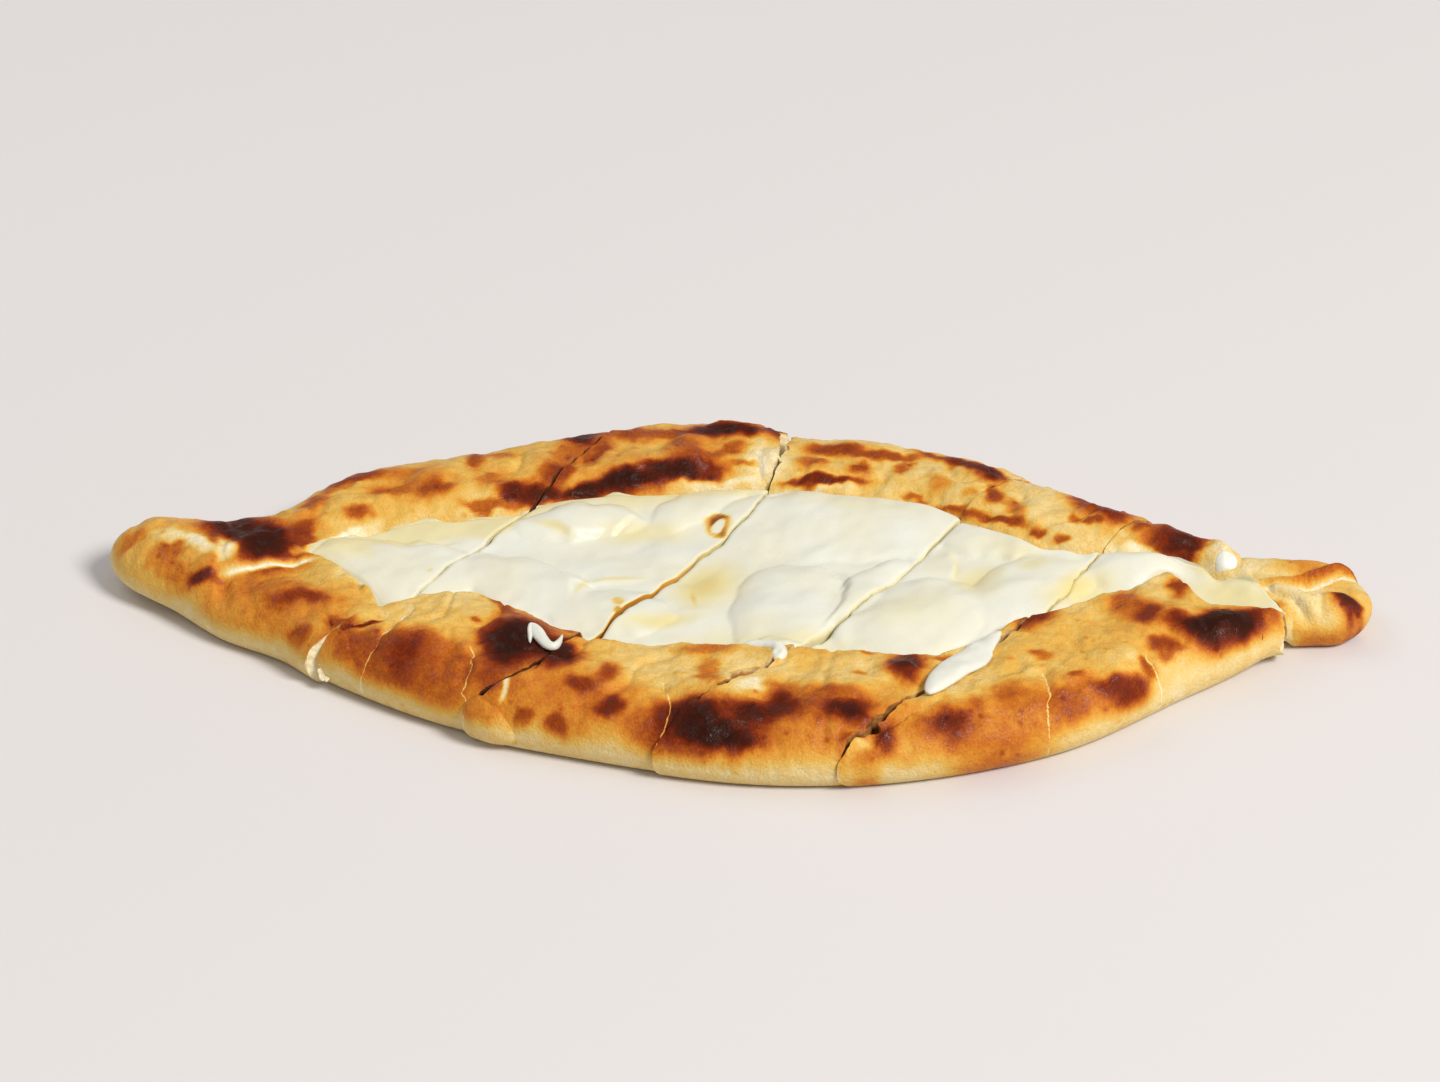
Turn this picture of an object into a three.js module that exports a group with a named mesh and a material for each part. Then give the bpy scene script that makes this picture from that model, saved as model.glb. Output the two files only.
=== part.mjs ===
// A boat-shaped labneh pie: one long flatbread whose edges are folded in over a strained-yoghurt
// filling, baked, and then cut across with a knife into slices that still lie together.
// Millimetres, +Z up, +X along the boat. -Y is the near side, +Y the far side.
import * as THREE from "three";

// Driving dimensions of the crust
const BULGE_LEVEL = 7; // height at which the side of the crust stands out furthest
const RIM_CREST = 18.5; // height of the folded rim
const FAR_RIM_RISE = 1.4; // how much higher the far rim stands
const FAR_RIM_FROM = -10; // Y at which that rise begins, and Y at which it is full
const FAR_RIM_TO = 25;
const RIM_SHOULDER = 15; // plan width over which the rim climbs from its side to its crest
const RIM_UNEVENNESS = 0.9; // how far hand shaping leaves the crest above or below its height
const FOOT_INSET = 5; // how far the contact edge of the underside lies inside the bulge
const FLOOR = 5; // thickness of the base under the filling
const LIP_ROUNDING = 5; // plan width over which the rim turns down towards its inner lip
const LIP_DROP = 1.6; // how much lower the lip is than the crest
const WALL = 4.5; // plan width of the rim's inner wall, from its lip down to the base
const WALL_SHARES = [0, 0.42, 0.7, 1]; // levels on the wall: lip, edge of the filling, lower wall, foot

// Driving dimensions of the filling
const FILLING_LEVEL = 12.6; // height of the filling near the rim
const FILLING_CROWN = 2.6; // how much higher the filling is in the middle
const FILLING_CROWN_REACH = 20; // distance from the lip at which the crown is full
const FILLING_EDGE_DROP = 1.2; // how much the filling sinks at its edge
const FILLING_EDGE_WIDTH = 6; // plan width over which it sinks
const FILLING_CLEARANCE = 0.3; // air between the filling and the crust below it
const FLOOR_NARROWEST = 3; // a narrower stretch of the floor holds no filling
const DAB_CLEARANCE = 0.4; // air between a dab and the rim below it
const DAB_SPAN = 1.4; // a dab rests on the highest crust within this distance

// Fineness of the surfaces
const STATION_STEP = 5.2; // spacing of the cross-sections along a slice
const RIM_STOPS = 9; // points of a cross-section on each rim, crowded towards the side
const RIM_CROWDING = 1.7;
const BASE_STOPS = 4; // points of a cross-section on the floor of the crust
const FILLING_STOPS = 12; // points of a cross-section on the filling
const DAB_ROWS = 7; // cross-sections of a dab, and points on each

// Widest line of the crust seen from above, from the left tip along the near side and back
const OUTLINE = [
  [-172.5, 4], [-167, -8], [-152, -18], [-138, -29], [-121, -38], [-108, -49], [-75, -67.5], [-40, -78],
  [10, -86.5], [50, -82], [92, -65], [125, -36], [139, -23], [147, -17], [156, -17], [166, -15],
  [173, -4], [167, 9], [146, 11], [132, 20], [113, 34], [85, 49], [54, 64], [12, 71],
  [-12, 74], [-48, 67], [-80, 54], [-105, 43.5], [-118, 35], [-129, 21], [-137, 16], [-164, 14.5],
];

// Inner lip of the rim seen from above, from the left corner of the mouth along the near side and back
const MOUTH = [
  [-118, -8], [-107, -19], [-93, -33], [-82, -28], [-70, -27], [-57, -39], [-42, -47], [-10, -48],
  [30, -48], [56, -49], [68, -42], [77, -32], [92, -25], [106, -16], [116, -8], [123, -8],
  [131, -15], [143, -15], [152, -10], [152, -3], [140, -1], [127, 5], [117, 12], [103, 14],
  [86, 12], [68, 21], [50, 31], [25, 37], [3, 39], [-25, 34], [-52, 28], [-62, 21],
  [-85, 16], [-104, 8],
];

// Knife cuts, each from the near side to the far side, with the gap that it leaves at either end
const CUTS = [
  { path: [[-122, -54], [-106, -43], [-92, -31], [-71, 3], [-57, 26], [-36, 68]], gapNear: 2.4, gapFar: 1.0 },
  { path: [[-72, -82], [-45, -52], [-18, -10], [4, 30], [11, 72]], gapNear: 1.4, gapFar: 1.6 },
  { path: [[-18, -86], [12, -52], [44, -4], [62, 27], [81, 52]], gapNear: 2.6, gapFar: 0.9 },
  { path: [[30, -88], [60, -54], [88, -12], [101, 14], [114, 32]], gapNear: 4.2, gapFar: 1.0 },
  { path: [[153, -30], [147, -12], [141, 2], [138, 20]], gapNear: 2.0, gapFar: 2.4 },
];

// Where each slice lies after the knife has nudged it: shift along X and Y
const SLICE_SHIFTS = [[0, 0], [1.1, 1.6], [0.3, -0.4], [-0.4, -1.5], [-0.8, -2.2], [-0.4, 4.6]];

// Blisters raised on the rim by the oven: place, radius and rise
const BLISTERS = [
  [-130, -3, 11, 2.2], [-88, 29, 7, 1.2], [-56, 42, 8, 1.4], [-36, 39, 12, 2.0], [-18, 45, 10, 2.2],
  [-2, 62, 11, 2.0], [16, 42, 9, 1.6], [30, 57, 10, 1.4], [68, 42, 8, 1.2], [100, 27, 8, 1.8],
  [121, 13, 8, 2.0], [-156, 2, 9, 1.4], [-142, -18, 6, 1.2], [-119, -27, 9, 1.4], [-84, -50, 12, 2.0],
  [-56, -45, 10, 2.2], [-34, -62, 10, 1.6], [0, -68, 13, 2.4], [30, -66, 11, 2.2], [48, -54, 6, 1.6],
  [63, -66, 10, 1.8], [79, -41, 7, 1.4], [105, -47, 10, 1.8], [118, -20, 8, 1.4], [134, -25, 10, 2.2],
  [164, -8, 6, 1.2],
];
const BLISTER_SPREAD = 1.2; // a blister fades out at this many radii

// Folds left in the filling by the spoon: place, half length, half width, turn in degrees, and lift.
// Each rises gently from one long side and falls steeply at the other.
const SPOON_FOLDS = [
  [-92, -8, 24, 15, 20, 2.4], [-46, 17, 20, 7, 8, 1.8], [-62, -20, 16, 9, -42, 2.2],
  [-30, -14, 14, 9, 12, 1.4], [8, 10, 26, 14, 30, 1.8], [4, -28, 26, 9, 14, 2.4],
  [22, -8, 12, 6, -50, 1.6], [44, -26, 22, 12, 42, 2.6], [66, 8, 14, 8, 0, 2.0],
  [78, -12, 16, 8, 36, 1.8], [108, 4, 18, 8, 18, 2.0], [13, -43, 7, 5, 25, 2.2],
];

// Dabs of filling that the knife has left on the rim: the slice that carries them, place, half length
// and half width, turn in degrees, and height
const DABS = [
  { slice: 2, at: [-48.5, -49.5], half: [5, 2.6], turn: -15, rise: 2.6 },
  { slice: 5, at: [63, -48.5], half: [12, 3.6], turn: 47, rise: 3.0 },
  { slice: 5, at: [134, 7.5], half: [5, 3.2], turn: -35, rise: 2.4 },
];

// Grooves in the crust: the line each follows, its half width and its depth
const GROOVES = [
  { from: [147, -5], to: [170, -1], half: 2.6, depth: 6.0 }, // between the two flaps of the right tip
  { from: [-138, -17], to: [-134, -37], half: 1.6, depth: 1.4 }, // crease where the left tip was pinched
  { from: [-88, -40], to: [-98, -62], half: 1.4, depth: 1.0 }, // creases across the near rim
  { from: [-66, -48], to: [-70, -68], half: 1.4, depth: 0.9 },
  { from: [75, -50], to: [78, -74], half: 1.4, depth: 0.8 },
  { from: [109, -36], to: [116, -50], half: 1.6, depth: 1.4 },
];

// The far flap of the left tip lies over the near one along this seam
const SEAM = {
  from: [-143, -18],
  to: [-117, -9],
  step: 1.3, // height of either flap above or below the middle
  softness: 1.5, // half width of the step
  runOut: 4, // how far it takes to begin and to end
  fadeFrom: 6, // distances to either side between which it dies away
  fadeTo: 16,
};

// Shared arithmetic
const clamp01 = (t) => THREE.MathUtils.clamp(t, 0, 1);
const smooth = (low, high, t) => THREE.MathUtils.smoothstep(t, low, high);
const lerp = THREE.MathUtils.lerp;
const radians = THREE.MathUtils.degToRad;
const quarterRound = (t) => Math.sqrt(1 - (1 - clamp01(t)) ** 2);

// A closed smooth line through plan points, as a polyline
function closedLine(points, piecesPerSpan = 8) {
  const curve = new THREE.CatmullRomCurve3(points.map(([x, y]) => new THREE.Vector3(x, y, 0)), true);
  return curve.getPoints(points.length * piecesPerSpan).slice(0, -1).map((p) => [p.x, p.y]);
}

// Distance from a point to a segment, and how far along the segment its foot lies
function toSegment(x, y, [ax, ay], [bx, by]) {
  const dx = bx - ax;
  const dy = by - ay;
  const along = clamp01(((x - ax) * dx + (y - ay) * dy) / (dx * dx + dy * dy));
  return { distance: Math.hypot(x - ax - along * dx, y - ay - along * dy), along };
}

// Signed distance from a point to a closed polyline, positive inside
function depthInside(line, x, y) {
  let nearest = Infinity;
  let inside = false;
  for (let i = 0, j = line.length - 1; i < line.length; j = i++) {
    const a = line[j];
    const b = line[i];
    nearest = Math.min(nearest, toSegment(x, y, a, b).distance);
    const straddles = a[1] > y !== b[1] > y;
    if (straddles && x < a[0] + ((y - a[1]) * (b[0] - a[0])) / (b[1] - a[1])) inside = !inside;
  }
  return inside ? nearest : -nearest;
}

const outline = closedLine(OUTLINE);
const mouth = closedLine(MOUTH);

// Slow unevenness of hand-shaped dough, between about -1 and 1
function wander(x, y) {
  const longSwell = 0.5 * Math.sin(x / 13 + y / 29 + 1.1);
  const midSwell = 0.3 * Math.sin(x / 7.1 - y / 11 + 2.6);
  return longSwell + midSwell + 0.2 * Math.sin(y / 6.3 + x / 19);
}

// The overlap of the two flaps at the left tip: up on the far side of the seam, down on the near side
function seamStep(x, y) {
  const [fx, fy] = SEAM.from;
  const [tx, ty] = SEAM.to;
  const length = Math.hypot(tx - fx, ty - fy);
  const along = ((x - fx) * (tx - fx) + (y - fy) * (ty - fy)) / length;
  const across = ((tx - fx) * (y - fy) - (ty - fy) * (x - fx)) / length;
  const begins = smooth(-SEAM.runOut, SEAM.runOut, along);
  const ends = 1 - smooth(length - SEAM.runOut, length + SEAM.runOut, along);
  const fade = 1 - smooth(SEAM.fadeFrom, SEAM.fadeTo, Math.abs(across));
  return SEAM.step * Math.tanh(across / SEAM.softness) * begins * ends * fade;
}

// How far a groove is cut at a plan point: full depth along its line, shallower towards its ends
function grooveDepth({ from, to, half, depth }, x, y) {
  const { distance, along } = toSegment(x, y, from, to);
  const fade = smooth(0, 0.15, along) * (1 - smooth(0.85, 1, along));
  return depth * (1 - smooth(0, 2 * half, distance)) * lerp(0.3, 1, fade);
}

// Upper surface of the crust at a plan point
function crustTop(x, y) {
  const intoMouth = depthInside(mouth, x, y);
  let crest = RIM_CREST + RIM_UNEVENNESS * wander(x, y) + seamStep(x, y);
  crest += FAR_RIM_RISE * smooth(FAR_RIM_FROM, FAR_RIM_TO, y);
  crest -= LIP_DROP * smooth(-LIP_ROUNDING, 0, intoMouth);
  for (const [bx, by, radius, rise] of BLISTERS) {
    crest += rise * (1 - smooth(0, BLISTER_SPREAD * radius, Math.hypot(x - bx, y - by)));
  }
  for (const groove of GROOVES) crest -= grooveDepth(groove, x, y);
  const rim = lerp(BULGE_LEVEL, crest, quarterRound(depthInside(outline, x, y) / RIM_SHOULDER));
  return lerp(rim, FLOOR, smooth(0, WALL, intoMouth));
}

// Underside of the crust: flat, and turned up to the bulge along its edge
function crustUnderside(x, y) {
  return BULGE_LEVEL * (1 - quarterRound(depthInside(outline, x, y) / FOOT_INSET));
}

// Upper surface of the filling
function fillingTop(x, y) {
  const intoMouth = depthInside(mouth, x, y);
  let z = FILLING_LEVEL + FILLING_CROWN * smooth(0, FILLING_CROWN_REACH, intoMouth);
  for (const [fx, fy, halfLength, halfWidth, turn, lift] of SPOON_FOLDS) {
    const a = radians(turn);
    const along = ((x - fx) * Math.cos(a) + (y - fy) * Math.sin(a)) / halfLength;
    const across = ((y - fy) * Math.cos(a) - (x - fx) * Math.sin(a)) / halfWidth;
    const lens = Math.max(0, 1 - along * along);
    z += lift * lens * smooth(-1, 0.6, across) * (1 - smooth(0.65, 1.1, across));
  }
  return z - FILLING_EDGE_DROP * (1 - smooth(0, FILLING_EDGE_WIDTH, intoMouth));
}

const fillingUnderside = (x, y) => crustTop(x, y) + FILLING_CLEARANCE;

// X of a cut at a given Y, by a cubic through its points
function cutAt(path, y) {
  const last = path.length - 1;
  const slope = (i) => {
    const a = path[Math.max(0, i - 1)];
    const b = path[Math.min(last, i + 1)];
    return (b[0] - a[0]) / (b[1] - a[1]);
  };
  if (y <= path[0][1]) return path[0][0] + slope(0) * (y - path[0][1]);
  if (y >= path[last][1]) return path[last][0] + slope(last) * (y - path[last][1]);
  const i = path.findIndex((_, n) => y < path[n + 1][1]);
  const [x0, y0] = path[i];
  const [x1, y1] = path[i + 1];
  const h = y1 - y0;
  const t = (y - y0) / h;
  const startSlope = h * slope(i) * t * (1 - t) ** 2;
  const endSlope = h * slope(i + 1) * t * t * (t - 1);
  return lerp(x0, x1, smooth(0, 1, t)) + startSlope + endSlope;
}

// One side of a knife gap: -1 for the face on its left, 1 for the face on its right
function cutFace({ path, gapNear, gapFar }, side) {
  const yNear = path[0][1];
  const yFar = path.at(-1)[1];
  const gapAt = (y) => lerp(gapNear, gapFar, clamp01((y - yNear) / (yFar - yNear)));
  return (y) => cutAt(path, y) + (side / 2) * gapAt(y);
}

const TIP_TRIM = 0.15; // the very end of each tip is this much short of the outline
const leftTip = Math.min(...outline.map((p) => p[0])) + TIP_TRIM;
const rightTip = Math.max(...outline.map((p) => p[0])) - TIP_TRIM;

// Left and right boundary of every slice, as X for a given Y
const boundaries = SLICE_SHIFTS.map((_, i) => ({
  left: i === 0 ? () => leftTip : cutFace(CUTS[i - 1], 1),
  right: i === CUTS.length ? () => rightTip : cutFace(CUTS[i], -1),
}));

// Y at which a quantity that is positive at yIn falls to zero on the way to yOut
function crossing(quantity, yIn, yOut, halvings = 30) {
  let inner = yIn;
  let outer = yOut;
  for (let i = 0; i < halvings; i++) {
    const middle = (inner + outer) / 2;
    if (quantity(middle) > 0) inner = middle;
    else outer = middle;
  }
  return inner;
}

// The stretch of Y round its peak in which a quantity is positive, or null if it never is
function stretch(quantity, low = -95, high = 85, step = 1) {
  let best = -Infinity;
  let peak = low;
  for (let y = low; y <= high; y += step) {
    const value = quantity(y);
    if (value > best) {
      best = value;
      peak = y;
    }
  }
  return best > 0 ? { near: crossing(quantity, peak, low), far: crossing(quantity, peak, high) } : null;
}

// Stops from one value up to, but not including, another; a power above 1 crowds the start
function stops(from, to, count, power = 1) {
  return Array.from({ length: count }, (_, i) => lerp(from, to, (i / count) ** power));
}

// One cross-section line of a slice: its ends on the outline, and where it crosses the rim's wall at each
// of the wall's levels. It is open where the mouth is wide enough to hold filling.
function stationAt(xAt) {
  const { near, far } = stretch((y) => depthInside(outline, xAt(y), y));
  const wall = WALL_SHARES.map((share) => stretch((y) => depthInside(mouth, xAt(y), y) - share * WALL));
  const foot = wall.at(-1);
  if (foot && foot.far - foot.near > FLOOR_NARROWEST) return { xAt, near, far, wall, open: true };
  const middle = wall[0] ? (wall[0].near + wall[0].far) / 2 : (near + far) / 2;
  const reach = Math.min(FLOOR_NARROWEST, (far - near) / 6);
  const closed = WALL_SHARES.map((share) => {
    const half = lerp(reach, reach / 2, share);
    return { near: middle - half, far: middle + half };
  });
  return { xAt, near, far, wall: closed, open: false };
}

// Evenly spaced stations from the left boundary of a slice to its right one
function stationsOf({ left, right }) {
  const width = Math.max(right(0) - left(0), right(-40) - left(-40));
  const count = Math.max(4, Math.round(width / STATION_STEP));
  return Array.from({ length: count + 1 }, (_, i) => stationAt((y) => lerp(left(y), right(y), i / count)));
}

// Plan points across the crust at one station
function crustRow({ xAt, near, far, wall }) {
  const foot = wall.at(-1);
  const across = [
    ...stops(near, wall[0].near, RIM_STOPS, RIM_CROWDING),
    ...wall.slice(0, -1).map((level) => level.near),
    ...stops(foot.near, foot.far, BASE_STOPS),
    ...wall.map((level) => level.far).reverse(),
    ...stops(far, wall[0].far, RIM_STOPS, RIM_CROWDING).reverse(),
  ];
  return across.map((y) => [xAt(y), y]);
}

// Plan points across the filling at one station, from partway down one wall to the same place on the other
function fillingRow({ xAt, wall }) {
  const foot = wall.at(-1);
  const across = [
    ...wall.slice(1, -1).map((level) => level.near),
    ...stops(foot.near, foot.far, FILLING_STOPS),
    ...wall.slice(1).map((level) => level.far).reverse(),
  ];
  return across.map((y) => [xAt(y), y]);
}

// A closed body between two surfaces over rows of plan points.
// The two surfaces meet along the first and the last point of every row.
function bodyBetween(rows, topAt, undersideAt, edgeAt) {
  const columns = rows[0].length;
  const positions = [];
  const top = [];
  const underside = [];
  const put = (x, y, z) => positions.push(x, y, z) / 3 - 1;
  const isEdge = (j) => j === 0 || j === columns - 1;
  for (const row of rows) {
    top.push(row.map(([x, y], j) => put(x, y, isEdge(j) ? edgeAt(x, y) : topAt(x, y))));
    underside.push(row.map(([x, y], j) => (isEdge(j) ? top.at(-1)[j] : put(x, y, undersideAt(x, y)))));
  }
  const faces = [];
  const quad = (a, b, c, d) => {
    if (a !== b && b !== c) faces.push(a, b, c);
    if (c !== d && a !== d) faces.push(a, c, d);
  };
  const last = rows.length - 1;
  for (let j = 0; j + 1 < columns; j++) {
    for (let i = 0; i < last; i++) {
      quad(top[i][j], top[i + 1][j], top[i + 1][j + 1], top[i][j + 1]);
      quad(underside[i][j], underside[i][j + 1], underside[i + 1][j + 1], underside[i + 1][j]);
    }
    quad(top[0][j], top[0][j + 1], underside[0][j + 1], underside[0][j]);
    quad(top[last][j + 1], top[last][j], underside[last][j], underside[last][j + 1]);
  }
  const geometry = new THREE.BufferGeometry();
  geometry.setAttribute("position", new THREE.Float32BufferAttribute(positions, 3));
  geometry.setIndex(faces);
  geometry.computeVertexNormals();
  return geometry;
}

// Crust of one slice: base, both rims and the cut faces
function crustOf(stations) {
  return bodyBetween(stations.map(crustRow), crustTop, crustUnderside, () => BULGE_LEVEL);
}

// Filling of one slice, or null where the slice is too narrow to hold any
function fillingOf(stations) {
  const rows = stations.filter((station) => station.open).map(fillingRow);
  return rows.length < 4 ? null : bodyBetween(rows, fillingTop, fillingUnderside, fillingUnderside);
}

// A low oval heap of filling on the rim
function dabOf({ at, half, turn, rise }) {
  const a = radians(turn);
  const place = (along, across) => [
    at[0] + along * Math.cos(a) - across * Math.sin(a),
    at[1] + along * Math.sin(a) + across * Math.cos(a),
  ];
  const endTrim = 0.4; // the first and last rows stand this share of a step inside the ends
  const turnOf = (i) => (Math.PI * (i + endTrim)) / (DAB_ROWS - 1 + 2 * endTrim);
  const shares = Array.from({ length: DAB_ROWS }, (_, i) => -Math.cos(turnOf(i)));
  const rows = shares.map((share) => {
    const width = half[1] * Math.sqrt(1 - share * share);
    return shares.map((_, j) => place(share * half[0], width * lerp(-1, 1, j / (DAB_ROWS - 1))));
  });
  const around = [-DAB_SPAN, 0, DAB_SPAN];
  const highest = (x, y) => Math.max(...around.flatMap((dx) => around.map((dy) => crustTop(x + dx, y + dy))));
  const underside = (x, y) => Math.max(highest(x, y), FILLING_LEVEL) + DAB_CLEARANCE;
  const top = (x, y) => {
    const along = (x - at[0]) * Math.cos(a) + (y - at[1]) * Math.sin(a);
    const across = (y - at[1]) * Math.cos(a) - (x - at[0]) * Math.sin(a);
    const reach = Math.min(0.99, Math.hypot(along / half[0], across / half[1]));
    return underside(x, y) + rise * Math.sqrt(1 - reach * reach);
  };
  return bodyBetween(rows, top, underside, underside);
}

const crustMaterial = new THREE.MeshStandardMaterial({ color: 0xd9a452, roughness: 0.55, metalness: 0 });
const fillingMaterial = new THREE.MeshStandardMaterial({ color: 0xf3f2e6, roughness: 0.35, metalness: 0 });

function named(name, geometry, material) {
  const mesh = new THREE.Mesh(geometry, material.clone());
  mesh.name = name;
  return mesh;
}

const pie = new THREE.Group();
SLICE_SHIFTS.forEach(([shiftX, shiftY], i) => {
  const slice = new THREE.Group();
  slice.position.set(shiftX, shiftY, 0);
  const stations = stationsOf(boundaries[i]);
  slice.add(named(`crust_${i + 1}`, crustOf(stations), crustMaterial));
  const filling = fillingOf(stations);
  if (filling) slice.add(named(`labneh_${i + 1}`, filling, fillingMaterial));
  DABS.forEach((dab, n) => {
    if (dab.slice === i + 1) slice.add(named(`labneh_dab_${n + 1}`, dabOf(dab), fillingMaterial));
  });
  pie.add(slice);
});

// The origin is under the middle of the pie's box, on the surface it lies on
const box = new THREE.Box3().setFromObject(pie);
const centre = box.getCenter(new THREE.Vector3());
pie.position.set(-centre.x, -centre.y, -box.min.z);

const part = new THREE.Group();
part.add(pie);
export default part;
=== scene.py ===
import bpy
import numpy as np
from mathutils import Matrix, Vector


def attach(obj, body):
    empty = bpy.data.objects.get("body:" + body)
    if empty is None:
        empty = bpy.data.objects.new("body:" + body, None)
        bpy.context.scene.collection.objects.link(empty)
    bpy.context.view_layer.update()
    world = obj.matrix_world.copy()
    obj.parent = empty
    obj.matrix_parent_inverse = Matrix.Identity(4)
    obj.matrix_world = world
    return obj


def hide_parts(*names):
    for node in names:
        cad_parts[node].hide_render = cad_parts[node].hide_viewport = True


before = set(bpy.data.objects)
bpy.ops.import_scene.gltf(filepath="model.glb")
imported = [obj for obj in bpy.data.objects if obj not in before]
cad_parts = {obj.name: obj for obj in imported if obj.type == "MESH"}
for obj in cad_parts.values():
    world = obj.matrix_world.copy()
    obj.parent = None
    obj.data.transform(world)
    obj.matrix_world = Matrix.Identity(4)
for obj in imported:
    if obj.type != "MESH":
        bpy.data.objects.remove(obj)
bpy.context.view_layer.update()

# The baked crust: one long yeast dough, rolled out, its edges folded in over the filling and its tips
# pinched, then baked on a hot stone and cut across with a knife. Each of the six slices is base, rims
# and cut faces in one. Lengths are millimetres from the crossing of the pie's axes.
MILLIMETRE = 0.001
BOX_MIDDLE = (0.04, -6.22)  # middle of the pie's box, which is the frame's origin
OUTLINE = [
    (-172.5, 4), (-167, -8), (-152, -18), (-138, -29), (-121, -38), (-108, -49), (-75, -67.5), (-40, -78),
    (10, -86.5), (50, -82), (92, -65), (125, -36.6), (139, -25), (147, -18.4), (156, -17), (166, -15),
    (173, -4), (167, 9), (146, 11), (132, 20), (113, 34), (85, 49), (54, 64), (12, 71),
    (-12, 74), (-48, 67), (-80, 54), (-105, 43.5), (-118, 35), (-129, 21), (-137, 16), (-164, 14.5),
]
# The lip of the rims, round the opening that shows the filling
MOUTH = [
    (-118, -6), (-113, -8), (-105.5, -14.8), (-97.5, -24), (-93, -32.5), (-82, -27.5), (-70, -26),
    (-57, -34), (-42, -43.5), (-10, -44), (30, -44), (55, -44.5), (66, -38), (75, -27.5), (89, -20),
    (99, -13.5), (107.5, -7.5), (113, -2.5), (118, 2.5), (121.5, -3), (124, -8.5), (128, -12.5),
    (134, -13.5), (143, -13.5), (152, -10), (152, -3), (140, 2), (132, 5), (127, 9), (117, 11.2),
    (103, 12.8), (86, 12), (68, 21), (50, 31), (25, 35.8), (3, 37.8), (-25, 33.2), (-52, 28),
    (-62, 21), (-85, 16), (-104, 8),
]
LINE_PIECES = 8  # between two points of these lines
FIELD_STEP = 0.6
field_x = np.arange(-178, 178, FIELD_STEP)
field_y = np.arange(-97, 87, FIELD_STEP)


def smooth(low, high, t):
    t = np.clip((t - low) / (high - low), 0, 1)
    return t * t * (3 - 2 * t)


def mix(a, b, t):
    return a + (b - a) * t


def quarter_round(t):
    return np.sqrt(1 - (1 - np.clip(t, 0, 1)) ** 2)


def closed_line(points):
    """A smooth closed line through plan points, with even knots by the root of the distance."""
    p = np.array(points, float)
    before, after, beyond = np.roll(p, 1, 0), np.roll(p, -1, 0), np.roll(p, -2, 0)
    pairs = ((before, p), (p, after), (after, beyond))
    first, second, third = (np.sqrt(np.hypot(*(b - a).T))[:, None] for a, b in pairs)
    start = (p - before) / first - (after - before) / (first + second) + (after - p) / second
    end = (after - p) / second - (beyond - p) / (second + third) + (beyond - after) / third
    t = (np.arange(LINE_PIECES) / LINE_PIECES)[None, :, None]
    p, after, start, end = (a[:, None] for a in (p, after, start * second, end * second))
    square = 3 * (after - p) - 2 * start - end
    cube = 2 * (p - after) + start + end
    return (p + start * t + square * t**2 + cube * t**3).reshape(-1, 2)


def to_segment(x, y, a, b):
    """Distance to a segment, and how far along it the foot lies from 0 to 1."""
    dx, dy = b[0] - a[0], b[1] - a[1]
    along = np.clip(((x - a[0]) * dx + (y - a[1]) * dy) / (dx * dx + dy * dy), 0, 1)
    return np.hypot(x - a[0] - along * dx, y - a[1] - along * dy), along


def depth_field(line):
    """Depth inside a closed line on a plan grid, negative outside."""
    x, y = np.meshgrid(field_x, field_y)
    nearest = np.full(x.shape, np.inf)
    inside = np.zeros(x.shape, bool)
    for a, b in zip(np.roll(line, 1, 0), line):
        nearest = np.minimum(nearest, to_segment(x, y, a, b)[0])
        if a[1] != b[1]:
            crossing = a[0] + (y - a[1]) * (b[0] - a[0]) / (b[1] - a[1])
            inside ^= ((a[1] > y) != (b[1] > y)) & (x < crossing)
    return np.where(inside, nearest, -nearest)


def read_field(field, x, y):
    u = np.clip((x - field_x[0]) / FIELD_STEP, 0, len(field_x) - 1.001)
    v = np.clip((y - field_y[0]) / FIELD_STEP, 0, len(field_y) - 1.001)
    i, j = u.astype(int), v.astype(int)
    u, v = u - i, v - j
    return mix(mix(field[j, i], field[j, i + 1], u), mix(field[j + 1, i], field[j + 1, i + 1], u), v)


outline = closed_line(OUTLINE)
outline_depths = depth_field(outline)
mouth_depths = depth_field(closed_line(MOUTH))


def inside_outline(x, y):
    return read_field(outline_depths, x, y)


def inside_mouth(x, y):
    return read_field(mouth_depths, x, y)


LUMP_GRID = 256
LUMP_ORIGIN = (97.3, 61.7)


def lumps(x, y, size, seed):
    """Smooth random unevenness between -1 and 1, in lumps of about that size."""
    grid = np.random.default_rng(seed).uniform(-1, 1, (LUMP_GRID, LUMP_GRID))
    u, v = x / size + LUMP_ORIGIN[0], y / size + LUMP_ORIGIN[1]
    i, j = np.floor(u).astype(int), np.floor(v).astype(int)
    u, v = smooth(0, 1, u - i), smooth(0, 1, v - j)
    i0, i1, j0, j1 = i % LUMP_GRID, (i + 1) % LUMP_GRID, j % LUMP_GRID, (j + 1) % LUMP_GRID
    return mix(mix(grid[i0, j0], grid[i1, j0], u), mix(grid[i0, j1], grid[i1, j1], u), v)


# The far flap of the left tip lies over the near one along this seam
SEAM_FROM = (-143, -18)
SEAM_TO = (-117, -9)
SEAM_STEP = 1.3
SEAM_SOFTNESS = 0.8
SEAM_END = 4.0
SEAM_REACH = (6, 16)


def seam_frame(x, y):
    """Distance along the seam, across it to the far side, and the seam's length."""
    dx, dy = SEAM_TO[0] - SEAM_FROM[0], SEAM_TO[1] - SEAM_FROM[1]
    length = np.hypot(dx, dy)
    u, v = x - SEAM_FROM[0], y - SEAM_FROM[1]
    return (u * dx + v * dy) / length, (dx * v - dy * u) / length, length


def seam_step(x, y):
    along, across, length = seam_frame(x, y)
    run = smooth(-SEAM_END, SEAM_END, along) * (1 - smooth(length - SEAM_END, length + SEAM_END, along))
    return SEAM_STEP * np.tanh(across / SEAM_SOFTNESS) * run * (1 - smooth(*SEAM_REACH, np.abs(across)))


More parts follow.
